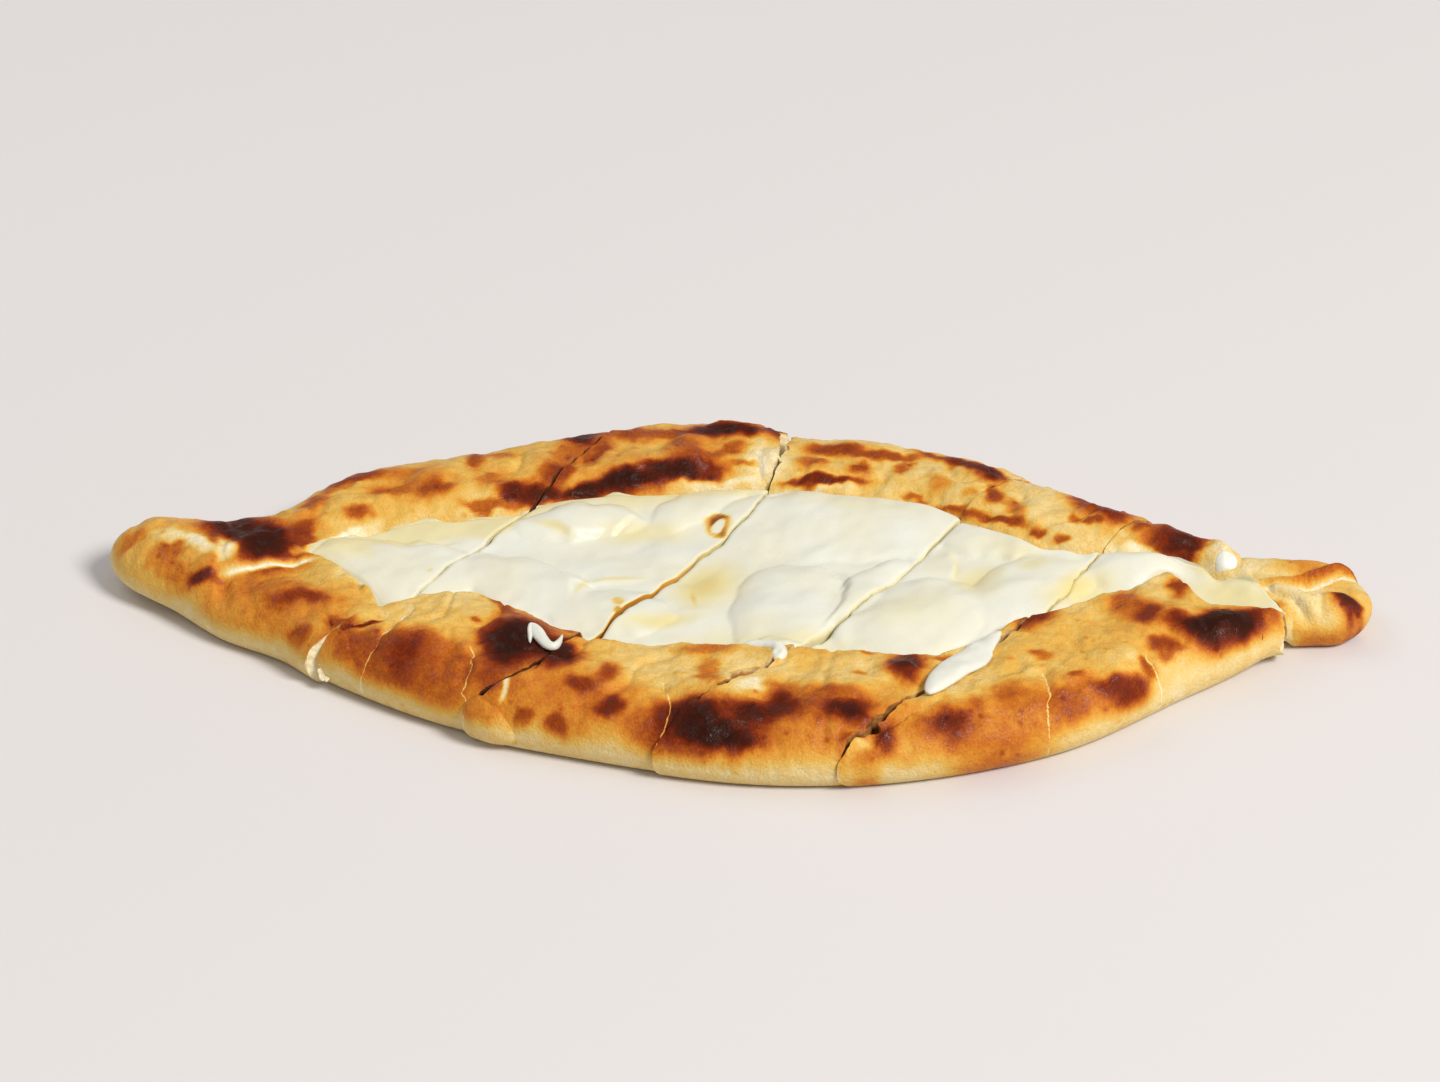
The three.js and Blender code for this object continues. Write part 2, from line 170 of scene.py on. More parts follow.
def beside(x, y, line):
    """Distance to a bent line, the same with a minus on its right, and the share of the line run by then."""
    nearest = np.full(np.shape(x), np.inf)
    side = np.zeros(np.shape(x))
    run = np.zeros(np.shape(x))
    for n, (a, b) in enumerate(zip(line, line[1:])):
        distance, along = to_segment(x, y, a, b)
        left_of = (b[0] - a[0]) * (y - a[1]) - (b[1] - a[1]) * (x - a[0])
        closer = distance < nearest
        nearest = np.where(closer, distance, nearest)
        side = np.where(closer, np.sign(left_of) * distance, side)
        run = np.where(closer, (n + along) / (len(line) - 1), run)
    return nearest, side, run


# Edges where one sheet of dough lies over the next: the line, the lift on its left, and how far that reaches
FLAPS = [
    ([(-44, -52), (-49, -61.5), (-58, -66), (-67, -71)], 2.0, 6),
    ([(-96, -58), (-101, -50), (-105, -43), (-99, -41), (-92, -43)], 1.8, 5),
    ([(-56, -77), (-53.5, -74), (-56, -71.5)], -1.2, 4),
    ([(36, -86), (44, -80), (50, -73), (54, -66)], -1.4, 5),
    ([(-119, -8), (-114, -2), (-108, 4), (-101, 10)], 0.9, 5),
]
FLAP_SWAY = 1.4
FLAP_OVERHANG = 0.3
FLAP_ROLL = 0.6  # plan width of the rolled edge, beyond its height
FLAP_CREASE = 0.25  # depth of the crease below the edge, as a share of the lift
FLAP_CREASE_WIDTH = 0.7
FLAP_ENDS = 0.25  # share of the line over which an edge begins and ends


def overlap(x, y, flaps, sway):
    """Lift where one sheet or spoonful lies over another: steep along its line, dying away to the left."""
    lift = np.zeros(np.shape(x))
    sway_x, sway_y = x + sway * lumps(x, y, 8, 41), y + sway * lumps(x, y, 8, 42)
    for line, height, reach in flaps:
        _, side, run = beside(sway_x, sway_y, line)
        fade = smooth(0, FLAP_ENDS, run) * (1 - smooth(1 - FLAP_ENDS, 1, run))
        rolled = quarter_round((side + FLAP_OVERHANG) / (FLAP_ROLL + abs(height)))
        rolled = rolled * np.exp(-np.maximum(side, 0) / reach)
        crease = FLAP_CREASE * abs(height) * np.exp(-((side / FLAP_CREASE_WIDTH) ** 2))
        lift = lift + fade * (height * rolled - crease)
    return lift


# Cracks in the skin that show the pale dough below it, as lines of plan points
CRACKS = [
    [(-85.6, -35.5), (-88.5, -41), (-91, -47), (-93.5, -51.5), (-97, -54.5), (-98.6, -56)],
    [(-68, -53), (-66.5, -60), (-68.7, -67), (-67, -71)],
    [(-15, -64), (-12.5, -72), (-13, -78), (-15, -82)],
    [(85.5, -51), (86.2, -60), (86.7, -67)],
    [(112, -38), (113.5, -42), (115.4, -44.5)],
]
CRACK_WIDTH = 1.1
CRACK_DEPTH = 0.35
FAR_FROM_CRACKS = 99.0


def crack_distance(x, y):
    """Distance to the nearest crack, with a sign for its side of the crack and without."""
    near = np.full(np.shape(x), FAR_FROM_CRACKS)
    side = np.full(np.shape(x), FAR_FROM_CRACKS)
    sway_x = x + 0.8 * lumps(x, y, 4, 21) + 0.4 * lumps(x, y, 1.5, 22)
    sway_y = y + 0.8 * lumps(x, y, 4, 23)
    for line in CRACKS:
        line_distance, line_side, _ = beside(sway_x, sway_y, line)
        side = np.where(line_distance < near, line_side, side)
        near = np.minimum(near, line_distance)
    return side, near


# Small bubbles and pits all over the skin: X, Y, radius and rise
POCKS = 420
pock_rng = np.random.default_rng(5)
pock_places = np.column_stack([
    pock_rng.uniform(-172, 172, POCKS), pock_rng.uniform(-86, 74, POCKS),
    pock_rng.uniform(1.0, 3.2, POCKS), pock_rng.uniform(-0.25, 0.55, POCKS),
])
WRINKLE_DEPTH = 0.7
WRINKLE_WIDTH = 0.22
# The knife has crushed the skin at the foot of the fourth cut
CRUSHED_AT = (39, -81.5)
CRUSHED_RADIUS = 6.5
CRUSHED_RELIEF = 1.4


def crushed(x, y):
    return np.exp(-((np.hypot(x - CRUSHED_AT[0], y - CRUSHED_AT[1]) / CRUSHED_RADIUS) ** 2))


def skin_unevenness(x, y):
    """Bubbles, wrinkles and lumps of the baked skin."""
    z = 0.6 * lumps(x, y, 8, 1) + 0.45 * lumps(x, y, 3.6, 2) + 0.18 * lumps(x, y, 1.6, 3)
    z = z - WRINKLE_DEPTH * (1 - smooth(0, WRINKLE_WIDTH, np.abs(lumps(x, y, 13, 4))))
    z = z + CRUSHED_RELIEF * crushed(x, y) * (lumps(x, y, 2.8, 24) + 0.6 * lumps(x, y, 1.5, 25))
    for px, py, radius, rise in pock_places:
        z = z + rise * (1 - smooth(0.1 * radius, radius, np.hypot(x - px, y - py)))
    return z - CRACK_DEPTH * (1 - smooth(0, CRACK_WIDTH, crack_distance(x, y)[1]))


BULGE_LEVEL = 7.0  # height at which the side stands out furthest
RIM_CREST = 18.5
FAR_RIM_RISE = 1.4
RIM_SHOULDER = 15.0  # plan width over which the rim climbs to its crest
NARROW_SHOULDER = 7.5  # the same at the right tip, where the rims are narrow
NARROWING = (116, 134)  # X over which they become narrow
RIM_UNEVENNESS = 0.9
FLOOR_LEVEL = 5.0  # top of the base under the filling
NEAR_LIP_DROP = 0.4  # how much lower the lip is than the crest
FAR_LIP_DROP = 3.0
NEAR_LIP_WIDTH = 5.0
FAR_LIP_WIDTH = 9.0
FAR_LIP_OVERHANG = 1.2
WALL = 4.5  # plan width of the rim's inner wall
SKIN_SETBACK = 0.5  # room for the unevenness of the skin
# The near rim's torn right end is rounded like a beak
BEAK_END = 149.5
BEAK_LENGTH = 7.0
BEAK_DROP = 9.0
BEAK_SIDE = (-13, -9)
# Oven blisters: place, radius and rise
BLISTERS = [
    (-130, -3, 11, 2.2), (-88, 29, 7, 1.2), (-56, 42, 8, 1.4), (-36, 39, 12, 2.0), (-18, 45, 10, 2.2),
    (-2, 62, 11, 2.0), (16, 42, 9, 1.6), (30, 57, 10, 1.4), (68, 42, 8, 1.2), (100, 27, 8, 1.8),
    (121, 13, 8, 2.0), (120, 22, 9, 3.0), (131, 13, 7, 3.0), (-156, 2, 9, 1.4), (-142, -18, 6, 1.2),
    (-119, -27, 9, 1.4), (-84, -50, 12, 2.0), (-56, -45, 10, 2.2), (-34, -62, 10, 1.6), (0, -68, 13, 2.4),
    (30, -66, 11, 2.2), (48, -54, 6, 1.6), (63, -66, 10, 1.8), (79, -41, 7, 1.4), (105, -47, 10, 1.8),
    (118, -20, 8, 1.4), (134, -25, 10, 2.2), (164, -8, 6, 1.2),
]
BLISTER_SPREAD = 1.2
# Grooves: from, to, half width and depth
GROOVES = [
    ((-138, -17), (-134, -37), 1.6, 1.4), ((-88, -40), (-98, -62), 1.4, 1.0),
    ((-66, -48), (-70, -68), 1.4, 0.9), ((84.5, -47), (87, -68), 1.4, 0.8),
    ((110, -34), (116, -46), 1.6, 1.4),
]
GROOVE_ENDS = 0.15  # share of its length over which a groove begins and ends
GROOVE_END_DEPTH = 0.3


def wander(x, y):
    """Slow waves in the rim's height, between -1 and 1."""
    return (0.5 * np.sin(x / 13 + y / 29 + 1.1) + 0.3 * np.sin(x / 7.1 - y / 11 + 2.6)
            + 0.2 * np.sin(y / 6.3 + x / 19))


def crust_top(x, y):
    """Height of the crust's upper surface."""
    into_mouth = inside_mouth(x, y)
    far_side = smooth(-6, 8, y)
    crest = RIM_CREST - SKIN_SETBACK + RIM_UNEVENNESS * wander(x, y) + seam_step(x, y)
    crest = crest + FAR_RIM_RISE * smooth(-10, 25, y)
    lip_width = mix(NEAR_LIP_WIDTH, FAR_LIP_WIDTH, far_side)
    crest = crest - mix(NEAR_LIP_DROP, FAR_LIP_DROP, far_side) * smooth(-lip_width, 0, into_mouth)
    for bx, by, radius, rise in BLISTERS:
        crest = crest + rise * (1 - smooth(0, BLISTER_SPREAD * radius, np.hypot(x - bx, y - by)))
    for a, b, half, depth in GROOVES:
        distance, along = to_segment(x, y, a, b)
        ends = smooth(0, GROOVE_ENDS, along) * (1 - smooth(1 - GROOVE_ENDS, 1, along))
        crest = crest - depth * (1 - smooth(0, 2 * half, distance)) * mix(GROOVE_END_DEPTH, 1, ends)
    beak = BEAK_DROP * (1 - quarter_round((BEAK_END - x) / BEAK_LENGTH)) * (1 - smooth(*BEAK_SIDE, y))
    crest = crest + skin_unevenness(x, y) + overlap(x, y, FLAPS, FLAP_SWAY) - beak
    shoulder = mix(RIM_SHOULDER, NARROW_SHOULDER, smooth(*NARROWING, x))
    rim = mix(BULGE_LEVEL, crest, quarter_round(inside_outline(x, y) / shoulder))
    return mix(rim, FLOOR_LEVEL, smooth(-FAR_LIP_OVERHANG * far_side, WALL, into_mouth))


# The right tip: a thin far flap with a rolled, browned edge, a hollow with filling under that edge, and a
# bulb of dough on the near side with a torn strip on it
TIP_FROM = 139  # X
ROLLED_EDGE = [(136, -6.4), (141, -6), (151, -4.2), (158.4, 0.1), (165, 5.5), (169, 6.6), (174, 7)]
ROLL_WIDTH = 1.1
ROLL_HEIGHT = 1.1
TIP_FLAP_LEVEL = 14.6
TIP_FLAP_RISE = 1.5  # from the rolled edge to the far side
TIP_FLAP_SAG = 1.8  # at its cut
TIP_FLAP_SAG_SPAN = (136, 148)  # X
HOLLOW_LEVELS = (13.4, 11.0)  # at the cut and at the end
HOLLOW_SPAN = (149, 156)  # X
BULB_AT = (161.5, -11)
BULB_HALF = (12, 6.8)
BULB_LEVEL = 7.5
BULB_HEIGHT = 7.4
TORN_STRIP = [(147, -6.5), (150, -8), (153.5, -10), (156.5, -13.5)]
STRIP_HALF = 2
STRIP_LEVEL = 13.4
STRIP_HEIGHT = 2.0
TIP_SKIN_SHARE = 0.7
FAR_EDGE_AT = (146, 11.8)
FAR_EDGE_SLOPE = -0.15


def inside_tip(x, y):
    """Depth inside the right tip, whose far edge runs on almost straight to its cut."""
    far_edge = FAR_EDGE_AT[1] + FAR_EDGE_SLOPE * np.minimum(x - FAR_EDGE_AT[0], 0)
    return np.minimum(inside_outline(x, y), far_edge - y)


def behind_edge(x, y):
    """Distance behind the rolled edge of the far flap."""
    edge = np.interp(x, *np.array(ROLLED_EDGE).T)
    return y - edge + 0.5 * lumps(x, y, 4, 35)


def off_strip(x, y):
    return beside(x, y, TORN_STRIP)[0]


def tip_top(x, y):
    """Height of the right tip's upper surface."""
    behind = behind_edge(x, y)
    roll = ROLL_HEIGHT * np.exp(-(((behind - ROLL_WIDTH) / ROLL_WIDTH) ** 2))
    flap = TIP_FLAP_LEVEL + TIP_FLAP_RISE * smooth(0, 9, behind) + roll
    flap = flap - TIP_FLAP_SAG * (1 - smooth(*TIP_FLAP_SAG_SPAN, x))
    hollow = mix(*HOLLOW_LEVELS, smooth(*HOLLOW_SPAN, x))
    round_share = ((x - BULB_AT[0]) / BULB_HALF[0]) ** 2 + ((y - BULB_AT[1]) / BULB_HALF[1]) ** 2
    bulb = BULB_LEVEL + BULB_HEIGHT * np.sqrt(np.clip(1 - round_share, 0, 1))
    off = off_strip(x, y)
    strip = STRIP_LEVEL + STRIP_HEIGHT * np.sqrt(np.clip(1 - (off / STRIP_HALF) ** 2, 0, 1))
    near = np.maximum(np.maximum(hollow, bulb), np.where(off < STRIP_HALF, strip, 0))
    z = mix(near, flap, smooth(-0.4, 0.5, behind)) + TIP_SKIN_SHARE * skin_unevenness(x, y)
    return mix(BULGE_LEVEL, z, quarter_round(inside_tip(x, y) / NARROW_SHOULDER))


FOOT_INSET = 5.0
LEFT_TIP_LIFT = 3.5
LEFT_TIP_SPAN = (-171, -136)  # X
RIGHT_END_LIFT = 2.0  # of the near rim's torn end, beside the right tip
RIGHT_END_RISE = (128, 147)  # X
RIGHT_END_STOP = (149, 152)  # X
RIGHT_END_SIDE = (-14, -8)  # Y


def crust_underside(x, y, depth):
    """Height of the underside: flat, turned up along the edge, and lifted off the table at two ends."""
    lifted = LEFT_TIP_LIFT * (1 - smooth(*LEFT_TIP_SPAN, x))
    right_end = smooth(*RIGHT_END_RISE, x) * (1 - smooth(*RIGHT_END_STOP, x))
    right_end = right_end * (1 - smooth(*RIGHT_END_SIDE, y))
    return mix(lifted + RIGHT_END_LIFT * right_end, BULGE_LEVEL, 1 - quarter_round(depth / FOOT_INSET))


# Browning of the crust: place, half length, half width, turn in degrees, and how far it is baked there,
# from 0 for raw dough over 0.35 for golden and 0.6 for brown to 1 for charred.
BAKED_MARKS = [
    # broad zones that the oven browned more or less
    (-150, -4, 22, 14, -20, 0.33), (-25, 52, 36, 14, 6, 0.32), (-78, -62, 32, 7, -24, 0.47),
    (-72, -42, 18, 10, -20, 0.24), (-30, -58, 26, 14, -8, 0.22), (-90, 32, 30, 14, 20, 0.29),
    (30, -76, 34, 9, 3, 0.42), (20, 56, 30, 9, -8, 0.18), (98, -34, 22, 12, 35, 0.3),
    (88, 28, 28, 12, -28, 0.17),
    # left tip and the flap that lies over it
    (-122, -30, 20, 13, -22, 0.44), (-165, -0.5, 5, 3, 0, 0.50), (-154, -8.5, 4, 2.4, -20, 0.56),
    (-152, -13.5, 8, 2.4, -38, 0.47), (-142, 7, 5, 10, 8, 0.70), (-136, 3, 7, 9, 0, 0.86),
    (-127, -5, 9.5, 9, 15, 0.93), (-119, 3, 3.5, 8, 0, 0.68), (-117, 19, 3.5, 5.5, -10, 0.57),
    (-155, -2.5, 5, 2.5, -10, 0.16), (-147.5, -6.5, 6.5, 2.6, -35, 0.08), (-139, -8.5, 3, 5.6, 20, 0.09),
    (-142.5, -18, 4, 2.2, -15, 0.80), (-128, -23, 12, 4, -8, 0.48), (-115, -29.5, 8, 3, -6, 0.70),
    (-113.5, -40, 3, 2, -20, 0.60), (-103, -40, 5, 2.6, -25, 0.62), (-98.5, -42, 6, 1.2, 0, 0.78),
    (-109.5, 2.6, 13, 1.6, 44, 0.05),
    # far rim of the first slice
    (-90, 27, 10, 6, 10, 0.44), (-105.5, 13.5, 4, 2.4, 25, 0.60), (-97, 24, 5, 3.2, 0, 0.56),
    (-85, 24, 5, 3.2, 25, 0.62), (-108, 31, 10, 3, 27, 0.66), (-94, 34, 7, 3, 18, 0.48),
    (-75, 42, 3, 6, 0, 0.60), (-69, 45, 4, 3, 0, 0.50), (-69, 31, 5, 4, 0, 0.50),
    (-62, 27, 5, 3.5, 45, 0.80), (-70, 21.5, 9, 1.4, 10, 0.56),
    # far rim of the second slice
    (-53, 38, 3, 6, -25, 0.66), (-51, 47, 4, 4, 0, 0.50), (-47, 58, 5, 7, -10, 0.85),
    (-44, 47, 3, 6, -20, 0.64), (-28, 57, 12, 3, 5, 0.60), (-20, 50, 6, 4, 0, 0.57),
    (-56, 28, 5, 3, 40, 0.82), (-46, 31, 7, 2.8, 18, 0.88), (-34, 35, 9, 3.4, 16, 0.95),
    (-20, 39, 9, 3.6, 14, 0.93), (-11, 41.5, 5, 2.5, 5, 0.72), (-14, 45, 7, 3, 10, 0.60),
    (-5, 49.5, 4.5, 3, 10, 0.64), (-29, 50, 4.6, 4.8, 0, 0.27), (-8, 60, 11, 4.5, 2, 0.92),
    (6, 61, 4, 8, 0, 0.78), (-36, 60, 6, 4, 10, 0.62), (-9, 36.6, 13, 1.5, 9, 0.10),
    (4, 46.5, 7.5, 8.5, -8, 0.08), (-3.5, 43.5, 5, 1.2, 4, 0.50),
    # far rim of the third slice
    (16, 37.9, 13, 1.1, 0, 0.10), (25, 54, 9, 3.5, 0, 0.66), (18, 46, 4, 3.4, 0, 0.56),
    (32, 45.5, 3, 3.2, 0, 0.64), (21, 39.6, 12, 1.5, 4, 0.76), (44, 46, 2.5, 3.2, 0, 0.55),
    (38, 52, 9, 2.4, 0, 0.62), (53, 53, 7, 3.2, -20, 0.68), (60, 48.5, 6, 3, -38, 0.76),
    (67, 43, 6, 3.5, -40, 0.82), (53, 38, 3.4, 3, 0, 0.42), (62, 33, 2, 2, 0, 0.42),
    (47, 34.5, 4.5, 1.3, -25, 0.55), (61, 27, 8, 1.6, -18, 0.60),
    # far rim of the fourth and fifth slices
    (70, 33, 2.6, 4, -20, 0.63), (75, 28, 3, 5.5, 10, 0.50), (72, 22.5, 7, 1.5, -18, 0.64),
    (82, 18.6, 2.5, 1.6, -20, 0.62), (89, 15.6, 3, 1.1, 0, 0.56), (91.5, 22, 1.5, 2.6, 0, 0.50),
    (96, 21, 3, 1.6, 0, 0.56), (101, 28, 6.5, 7, -20, 0.74), (96, 37, 5, 9, -15, 0.70),
    (110, 22, 2.6, 4, -20, 0.62), (119, 18, 8, 7, -35, 0.68), (123, 12.5, 6, 5, -30, 0.82),
    (116, 27, 6, 3, -40, 0.60), (131.5, 11, 4, 8, -20, 0.12), (111, 12.6, 9, 1.8, -10, 0.10),
    # near rim of the second slice
    (-99, -49, 10, 5, -28, 0.60), (-84, -55, 11, 8, -20, 0.60), (-84, -55, 5, 4.2, 0, 0.74),
    (-74, -60, 8, 7, -20, 0.58), (-68, -40, 1.8, 1.8, 0, 0.56), (-62, -31, 9, 2.4, -48, 0.60),
    (-63, -45, 3, 9, -10, 0.58), (-56, -51, 8, 11, -20, 0.97), (-55, -66, 5, 2.4, -25, 0.50),
    # the mark at -62, -64 is partly browning and partly painted shade of the crease where this slice lies
    # lower beside the second cut
    (-62, -64, 4, 3.4, -30, 0.66),
    # near rim of the third slice
    (-38, -71, 20, 8, -6, 0.46), (-44, -54, 7, 7, 0, 0.92), (-37, -42, 8, 2.6, -4, 0.64),
    (-29, -61.5, 3, 5, -10, 0.64), (-36, -67.5, 5, 2.4, 0, 0.68), (-28.5, -74, 4, 3.2, 0, 0.76),
    (-51, -74.8, 2.6, 1.8, 0, 0.62), (-42, -76.8, 3.2, 1.6, 0, 0.64), (-20, -79, 6, 3, -8, 0.5),
    (-5, -46.8, 8, 3.2, 0, 0.50), (-4, -59, 2.4, 8, 14, 0.48), (-6, -78, 9, 6, -10, 0.93),
    (-56.8, -66.8, 3, 1.0, 75, 0.05),
    # near rim of the fourth slice
    (41, -53, 6, 5, 0, 0.19), (2, -82, 9, 3, -4, 0.97), (11, -76, 8, 6, 20, 0.86),
    (17, -69, 5, 6, 30, 0.80), (33, -73.5, 6.5, 5, 0, 0.88), (29, -67, 6, 4, 0, 0.58),
    (24, -80, 12, 4, 0, 0.46), (46, -79, 3, 4, 0, 0.70), (37, -82, 4, 2, 0, 0.66),
    (37, -56, 2, 1.8, 0, 0.48), (38, -45, 2, 1.1, 0, 0.48), (48.5, -52, 4, 7, 0, 0.86),
    (57, -46, 4, 1.6, 0, 0.54), (8.6, -63, 4, 2, 25, 0.08),
    # near rim of the fifth slice
    (84, -64, 24, 9, 28, 0.46), (98, -54, 6, 4, 25, 0.47), (55, -74, 5, 4, 20, 0.46),
    (82, -24, 6, 4.6, 32, 0.72), (84, -43.5, 3, 2, 0, 0.54), (75, -44, 1.6, 1.2, 0, 0.42),
    (94, -51, 2.6, 1.6, 0, 0.60), (91, -60, 5, 4, 20, 0.58), (76.5, -61, 4, 4, 0, 0.56),
    (62, -74, 6, 4.4, -12, 0.80), (67, -67, 3, 4, 0, 0.54), (106, -50, 7, 3, 32, 0.74),
    (116, -34, 4, 2.5, 10, 0.66), (112, -42, 2, 3, 0, 0.60), (105, -13, 3.6, 6, -25, 0.56),
    (107, -19, 5, 5, 0, 0.56), (112.6, -21.6, 3.2, 4.4, 0, 0.69), (119.6, -24.5, 3.4, 3.6, 0, 0.68),
    (121, -7, 3.4, 4.4, 0, 0.66), (128.5, -25.5, 7.5, 6.5, 35, 1.0), (136, -21, 8, 5, 28, 0.97),
    (143, -17, 5, 3.6, 10, 0.88), (146, -15, 2.6, 2.6, 0, 0.7),
    # right tip; the mark at 154, 4 is painted shade, darkening the far flap where it faces away from the
    # light
    (158, -10, 12, 7, 0, 0.10), (142, 2, 7, 5, 0, 0.13), (154, 4, 7, 5, 10, 0.40), (155, 8, 12, 2, 0, 0.46),
    (166, 8, 4, 2, -20, 0.50), (165.5, -10, 4.2, 4.8, 0, 0.64), (166, -9.8, 3.2, 3.6, 0, 0.82),
]
# Marks that reach down to the foot of the side
LOW_MARKS = [(38, -83.5, 5, 2.2, 10, 0.44), (74, -73, 14, 3.6, 24, 0.5)]
SMALL_MARK = 4.0  # half width below which a mark has a crisper edge and less of a halo
MARK_FALL = 0.8
MARK_EDGES = (6, 3.1)  # power of the fall at the edge, for the smallest marks and the large ones
HALO_FROM = 0.5  # a mark that is baked more than this has a halo
HALO_SHARE = 0.25
HALO_REACH = 1.7
HALO_BELOW = 0.55  # which shows only on crust that is baked less than this
GOLDEN = 0.23
STEAMED = 0.1  # the wall over the filling stays moist and pale
STEAMED_WIDTH = 2.4
UNBROWNED = 0.14  # the foot of the side, which faces the stone
UNBROWNED_SHARE = 0.9
UNBROWNED_TO = 151  # X
CRUSHED_MOTTLE = 0.22
ROLL_BAKES = (0.4, 0.62)  # along the right tip's rolled edge, from the cut to the end
ROLL_BAKE_SPAN = (146, 158)  # X
HOLLOW_BAKE = 0.03
STRIP_BAKE = 0.13
TIP_FOOT_BAKE = 0.46
TIP_FOOT_LEVELS = (4, 10)
TIP_FOOT_START = (151, 155)  # X
TIP_FOOT_STOP = (163, 172)  # X
SEAM_BAKE = 0.01


def in_oval(x, y, middle_x, middle_y, half_length, half_width, turn):
    """Place along and across a turned oval, each 1 at its edge."""
    a = np.radians(turn)
    along = ((x - middle_x) * np.cos(a) + (y - middle_y) * np.sin(a)) / half_length
    across = ((y - middle_y) * np.cos(a) - (x - middle_x) * np.sin(a)) / half_width
    return along, across


def marked(bake, x, y, marks):
    """The browning with soft-edged marks laid over it."""
    warp_x = x + 1.5 * lumps(x, y, 7, 11) + 0.8 * lumps(x, y, 3, 12) + 0.4 * lumps(x, y, 1.5, 20)
    warp_y = y + 1.5 * lumps(x, y, 7, 13) + 0.8 * lumps(x, y, 3, 14) + 0.4 * lumps(x, y, 1.5, 19)
    for mx, my, half_length, half_width, turn, baked in marks:
        reach = np.hypot(*in_oval(warp_x, warp_y, mx, my, half_length, half_width, turn))
        size = min(1, min(half_length, half_width) / SMALL_MARK)
        halo = max(0, baked - HALO_FROM) * HALO_SHARE * size * np.exp(-((reach / HALO_REACH) ** 2))
        bake = bake + halo * (bake < HALO_BELOW)
        bake = mix(bake, baked, np.exp(-MARK_FALL * reach ** mix(*MARK_EDGES, size)))
    return bake


def browning(x, y, z):
    """How far the crust is baked at each point of its skin."""
    bake = GOLDEN + 0.06 * lumps(x, y, 16, 15) + 0.05 * lumps(x, y, 6, 16)
    bake = marked(bake, x, y, BAKED_MARKS)
    near_side = 1 - smooth(-8, 4, y)
    steamed_from = mix(-0.4, 0, near_side) + 0.9 * lumps(x, y, 5, 17)
    steamed = smooth(steamed_from, steamed_from + STEAMED_WIDTH, inside_mouth(x, y))
    bake = mix(bake, STEAMED, steamed * (x < TIP_FROM))
    on_tip = x > TIP_FROM
    behind = behind_edge(x, y)
    rolled = np.exp(-(((behind - 0.9) / 1.2) ** 2)) * smooth(TIP_FROM, ROLL_BAKE_SPAN[0], x)
    hollow = smooth(-0.2, 0.6, -behind) * (1 - smooth(1.2, 2.4, -behind))
    bake = mix(bake, mix(*ROLL_BAKES, smooth(*ROLL_BAKE_SPAN, x)), rolled * on_tip)
    bake = mix(bake, HOLLOW_BAKE, hollow * on_tip)
    bake = mix(bake, STRIP_BAKE, (1 - smooth(0.6, 1.8, off_strip(x, y))) * on_tip)
    towards_tip = smooth(108, 130, x)
    low_from, low_to = mix(5.5, 9, towards_tip), mix(11.5, 15.5, towards_tip)
    low = 1 - smooth(low_from, low_to, z + 1.8 * lumps(x, y, 9, 18))
    bake = mix(bake, UNBROWNED, UNBROWNED_SHARE * low * (x < UNBROWNED_TO))
    bake = marked(bake, x, y, LOW_MARKS)
    bake = bake + CRUSHED_MOTTLE * crushed(x, y) * lumps(x, y, 2.4, 26)
    tip_foot = (1 - smooth(*TIP_FOOT_LEVELS, z)) * smooth(*TIP_FOOT_START, x)
    bake = mix(bake, TIP_FOOT_BAKE, tip_foot * (1 - smooth(*TIP_FOOT_STOP, x)))
    along, across, length = seam_frame(x, y)
    raw_edge = np.exp(-(((across + 1.0) / 1.1) ** 2))
    raw_edge = raw_edge * smooth(2, 8, along) * (1 - smooth(length, length + 6, along))
    return mix(bake, SEAM_BAKE, raw_edge)


# Knife cuts from the near side to the far side
CUTS = [
    [(-122, -54), (-106, -43), (-92, -31), (-71, 3), (-57, 26), (-36, 68)],
    [(-76, -76), (-66.5, -70), (-58.5, -65.4), (-49.5, -61), (-44.5, -52), (-18, -10), (4, 30), (11, 72)],
    [(-18, -86), (12, -52), (44, -4), (62, 27), (81, 52)],
    [(30, -88), (60, -54), (88, -12), (101, 14), (114, 32)],
    [(153, -30), (147, -12), (138.5, 2), (134.5, 20)],
]
# The gap in the crust at some places along each cut: Y, width, how brown its faces are (partly baked colour,
# partly painted shade that darkens the lit faces of the narrow gap), and how ragged
CRUST_GAPS = [
    [(-56, 4.4, 0.0, 1.5), (-49, 3.4, 0.02, 1.8), (-44, 1.4, 0.08, 1.0), (-39, 0.4, 0.5, 0.2),
     (-31, 0.3, 0.5, 0), (21, 0.4, 0.6, 0), (30, 0.5, 0.7, 0.3), (68, 0.2, 0.5, 0.2)],
    [(-76, -0.4, 0.4, 0.5), (-70.5, -0.1, 0.6, 1.0), (-67, 2.0, 0.8, 1.4), (-62, 1.6, 0.8, 1.4),
     (-58, 0.4, 0.8, 0.6), (-50, 0.2, 0.8, 0), (30, 0.3, 0.4, 0), (42, 1.6, 0.04, 0.6),
     (54, 3.2, 0.02, 1.0), (66, 4.6, 0.06, 1.3)],
    [(-86, -0.1, 0.5, 0.3), (-76, 0.1, 0.6, 0.4), (-68, 1.0, 0.6, 0.8), (-60, 2.6, 0.4, 0.9),
     (-50, 1.6, 0.15, 0.3), (27, 0.3, 0.4, 0), (52, 0.1, 0.4, 0.2)],
    [(-88, -0.1, 0.4, 0.7), (-83, 0.2, 0.5, 1.2), (-78, 2.6, 0.5, 1.5), (-74, 3.0, 0.5, 1.0),
     (-69, 1.2, 0.5, 0.5), (-60, 2.6, 0.3, 0.3), (-50, 2.4, 0.2, 0), (14, 0.3, 0.4, 0),
     (32, 0.5, 0.3, 0.6)],
    [(-30, 4.0, 0.2, 1.0), (-19, 2.6, 0.2, 0.9), (-15, -1.2, 0.15, 0.7), (-8, -4.0, 0.1, 0.2),
     (4, -4.0, 0.1, 0.2), (13, -1.6, 0.15, 0.4), (21, 6.0, 0.15, 0.4)],
]
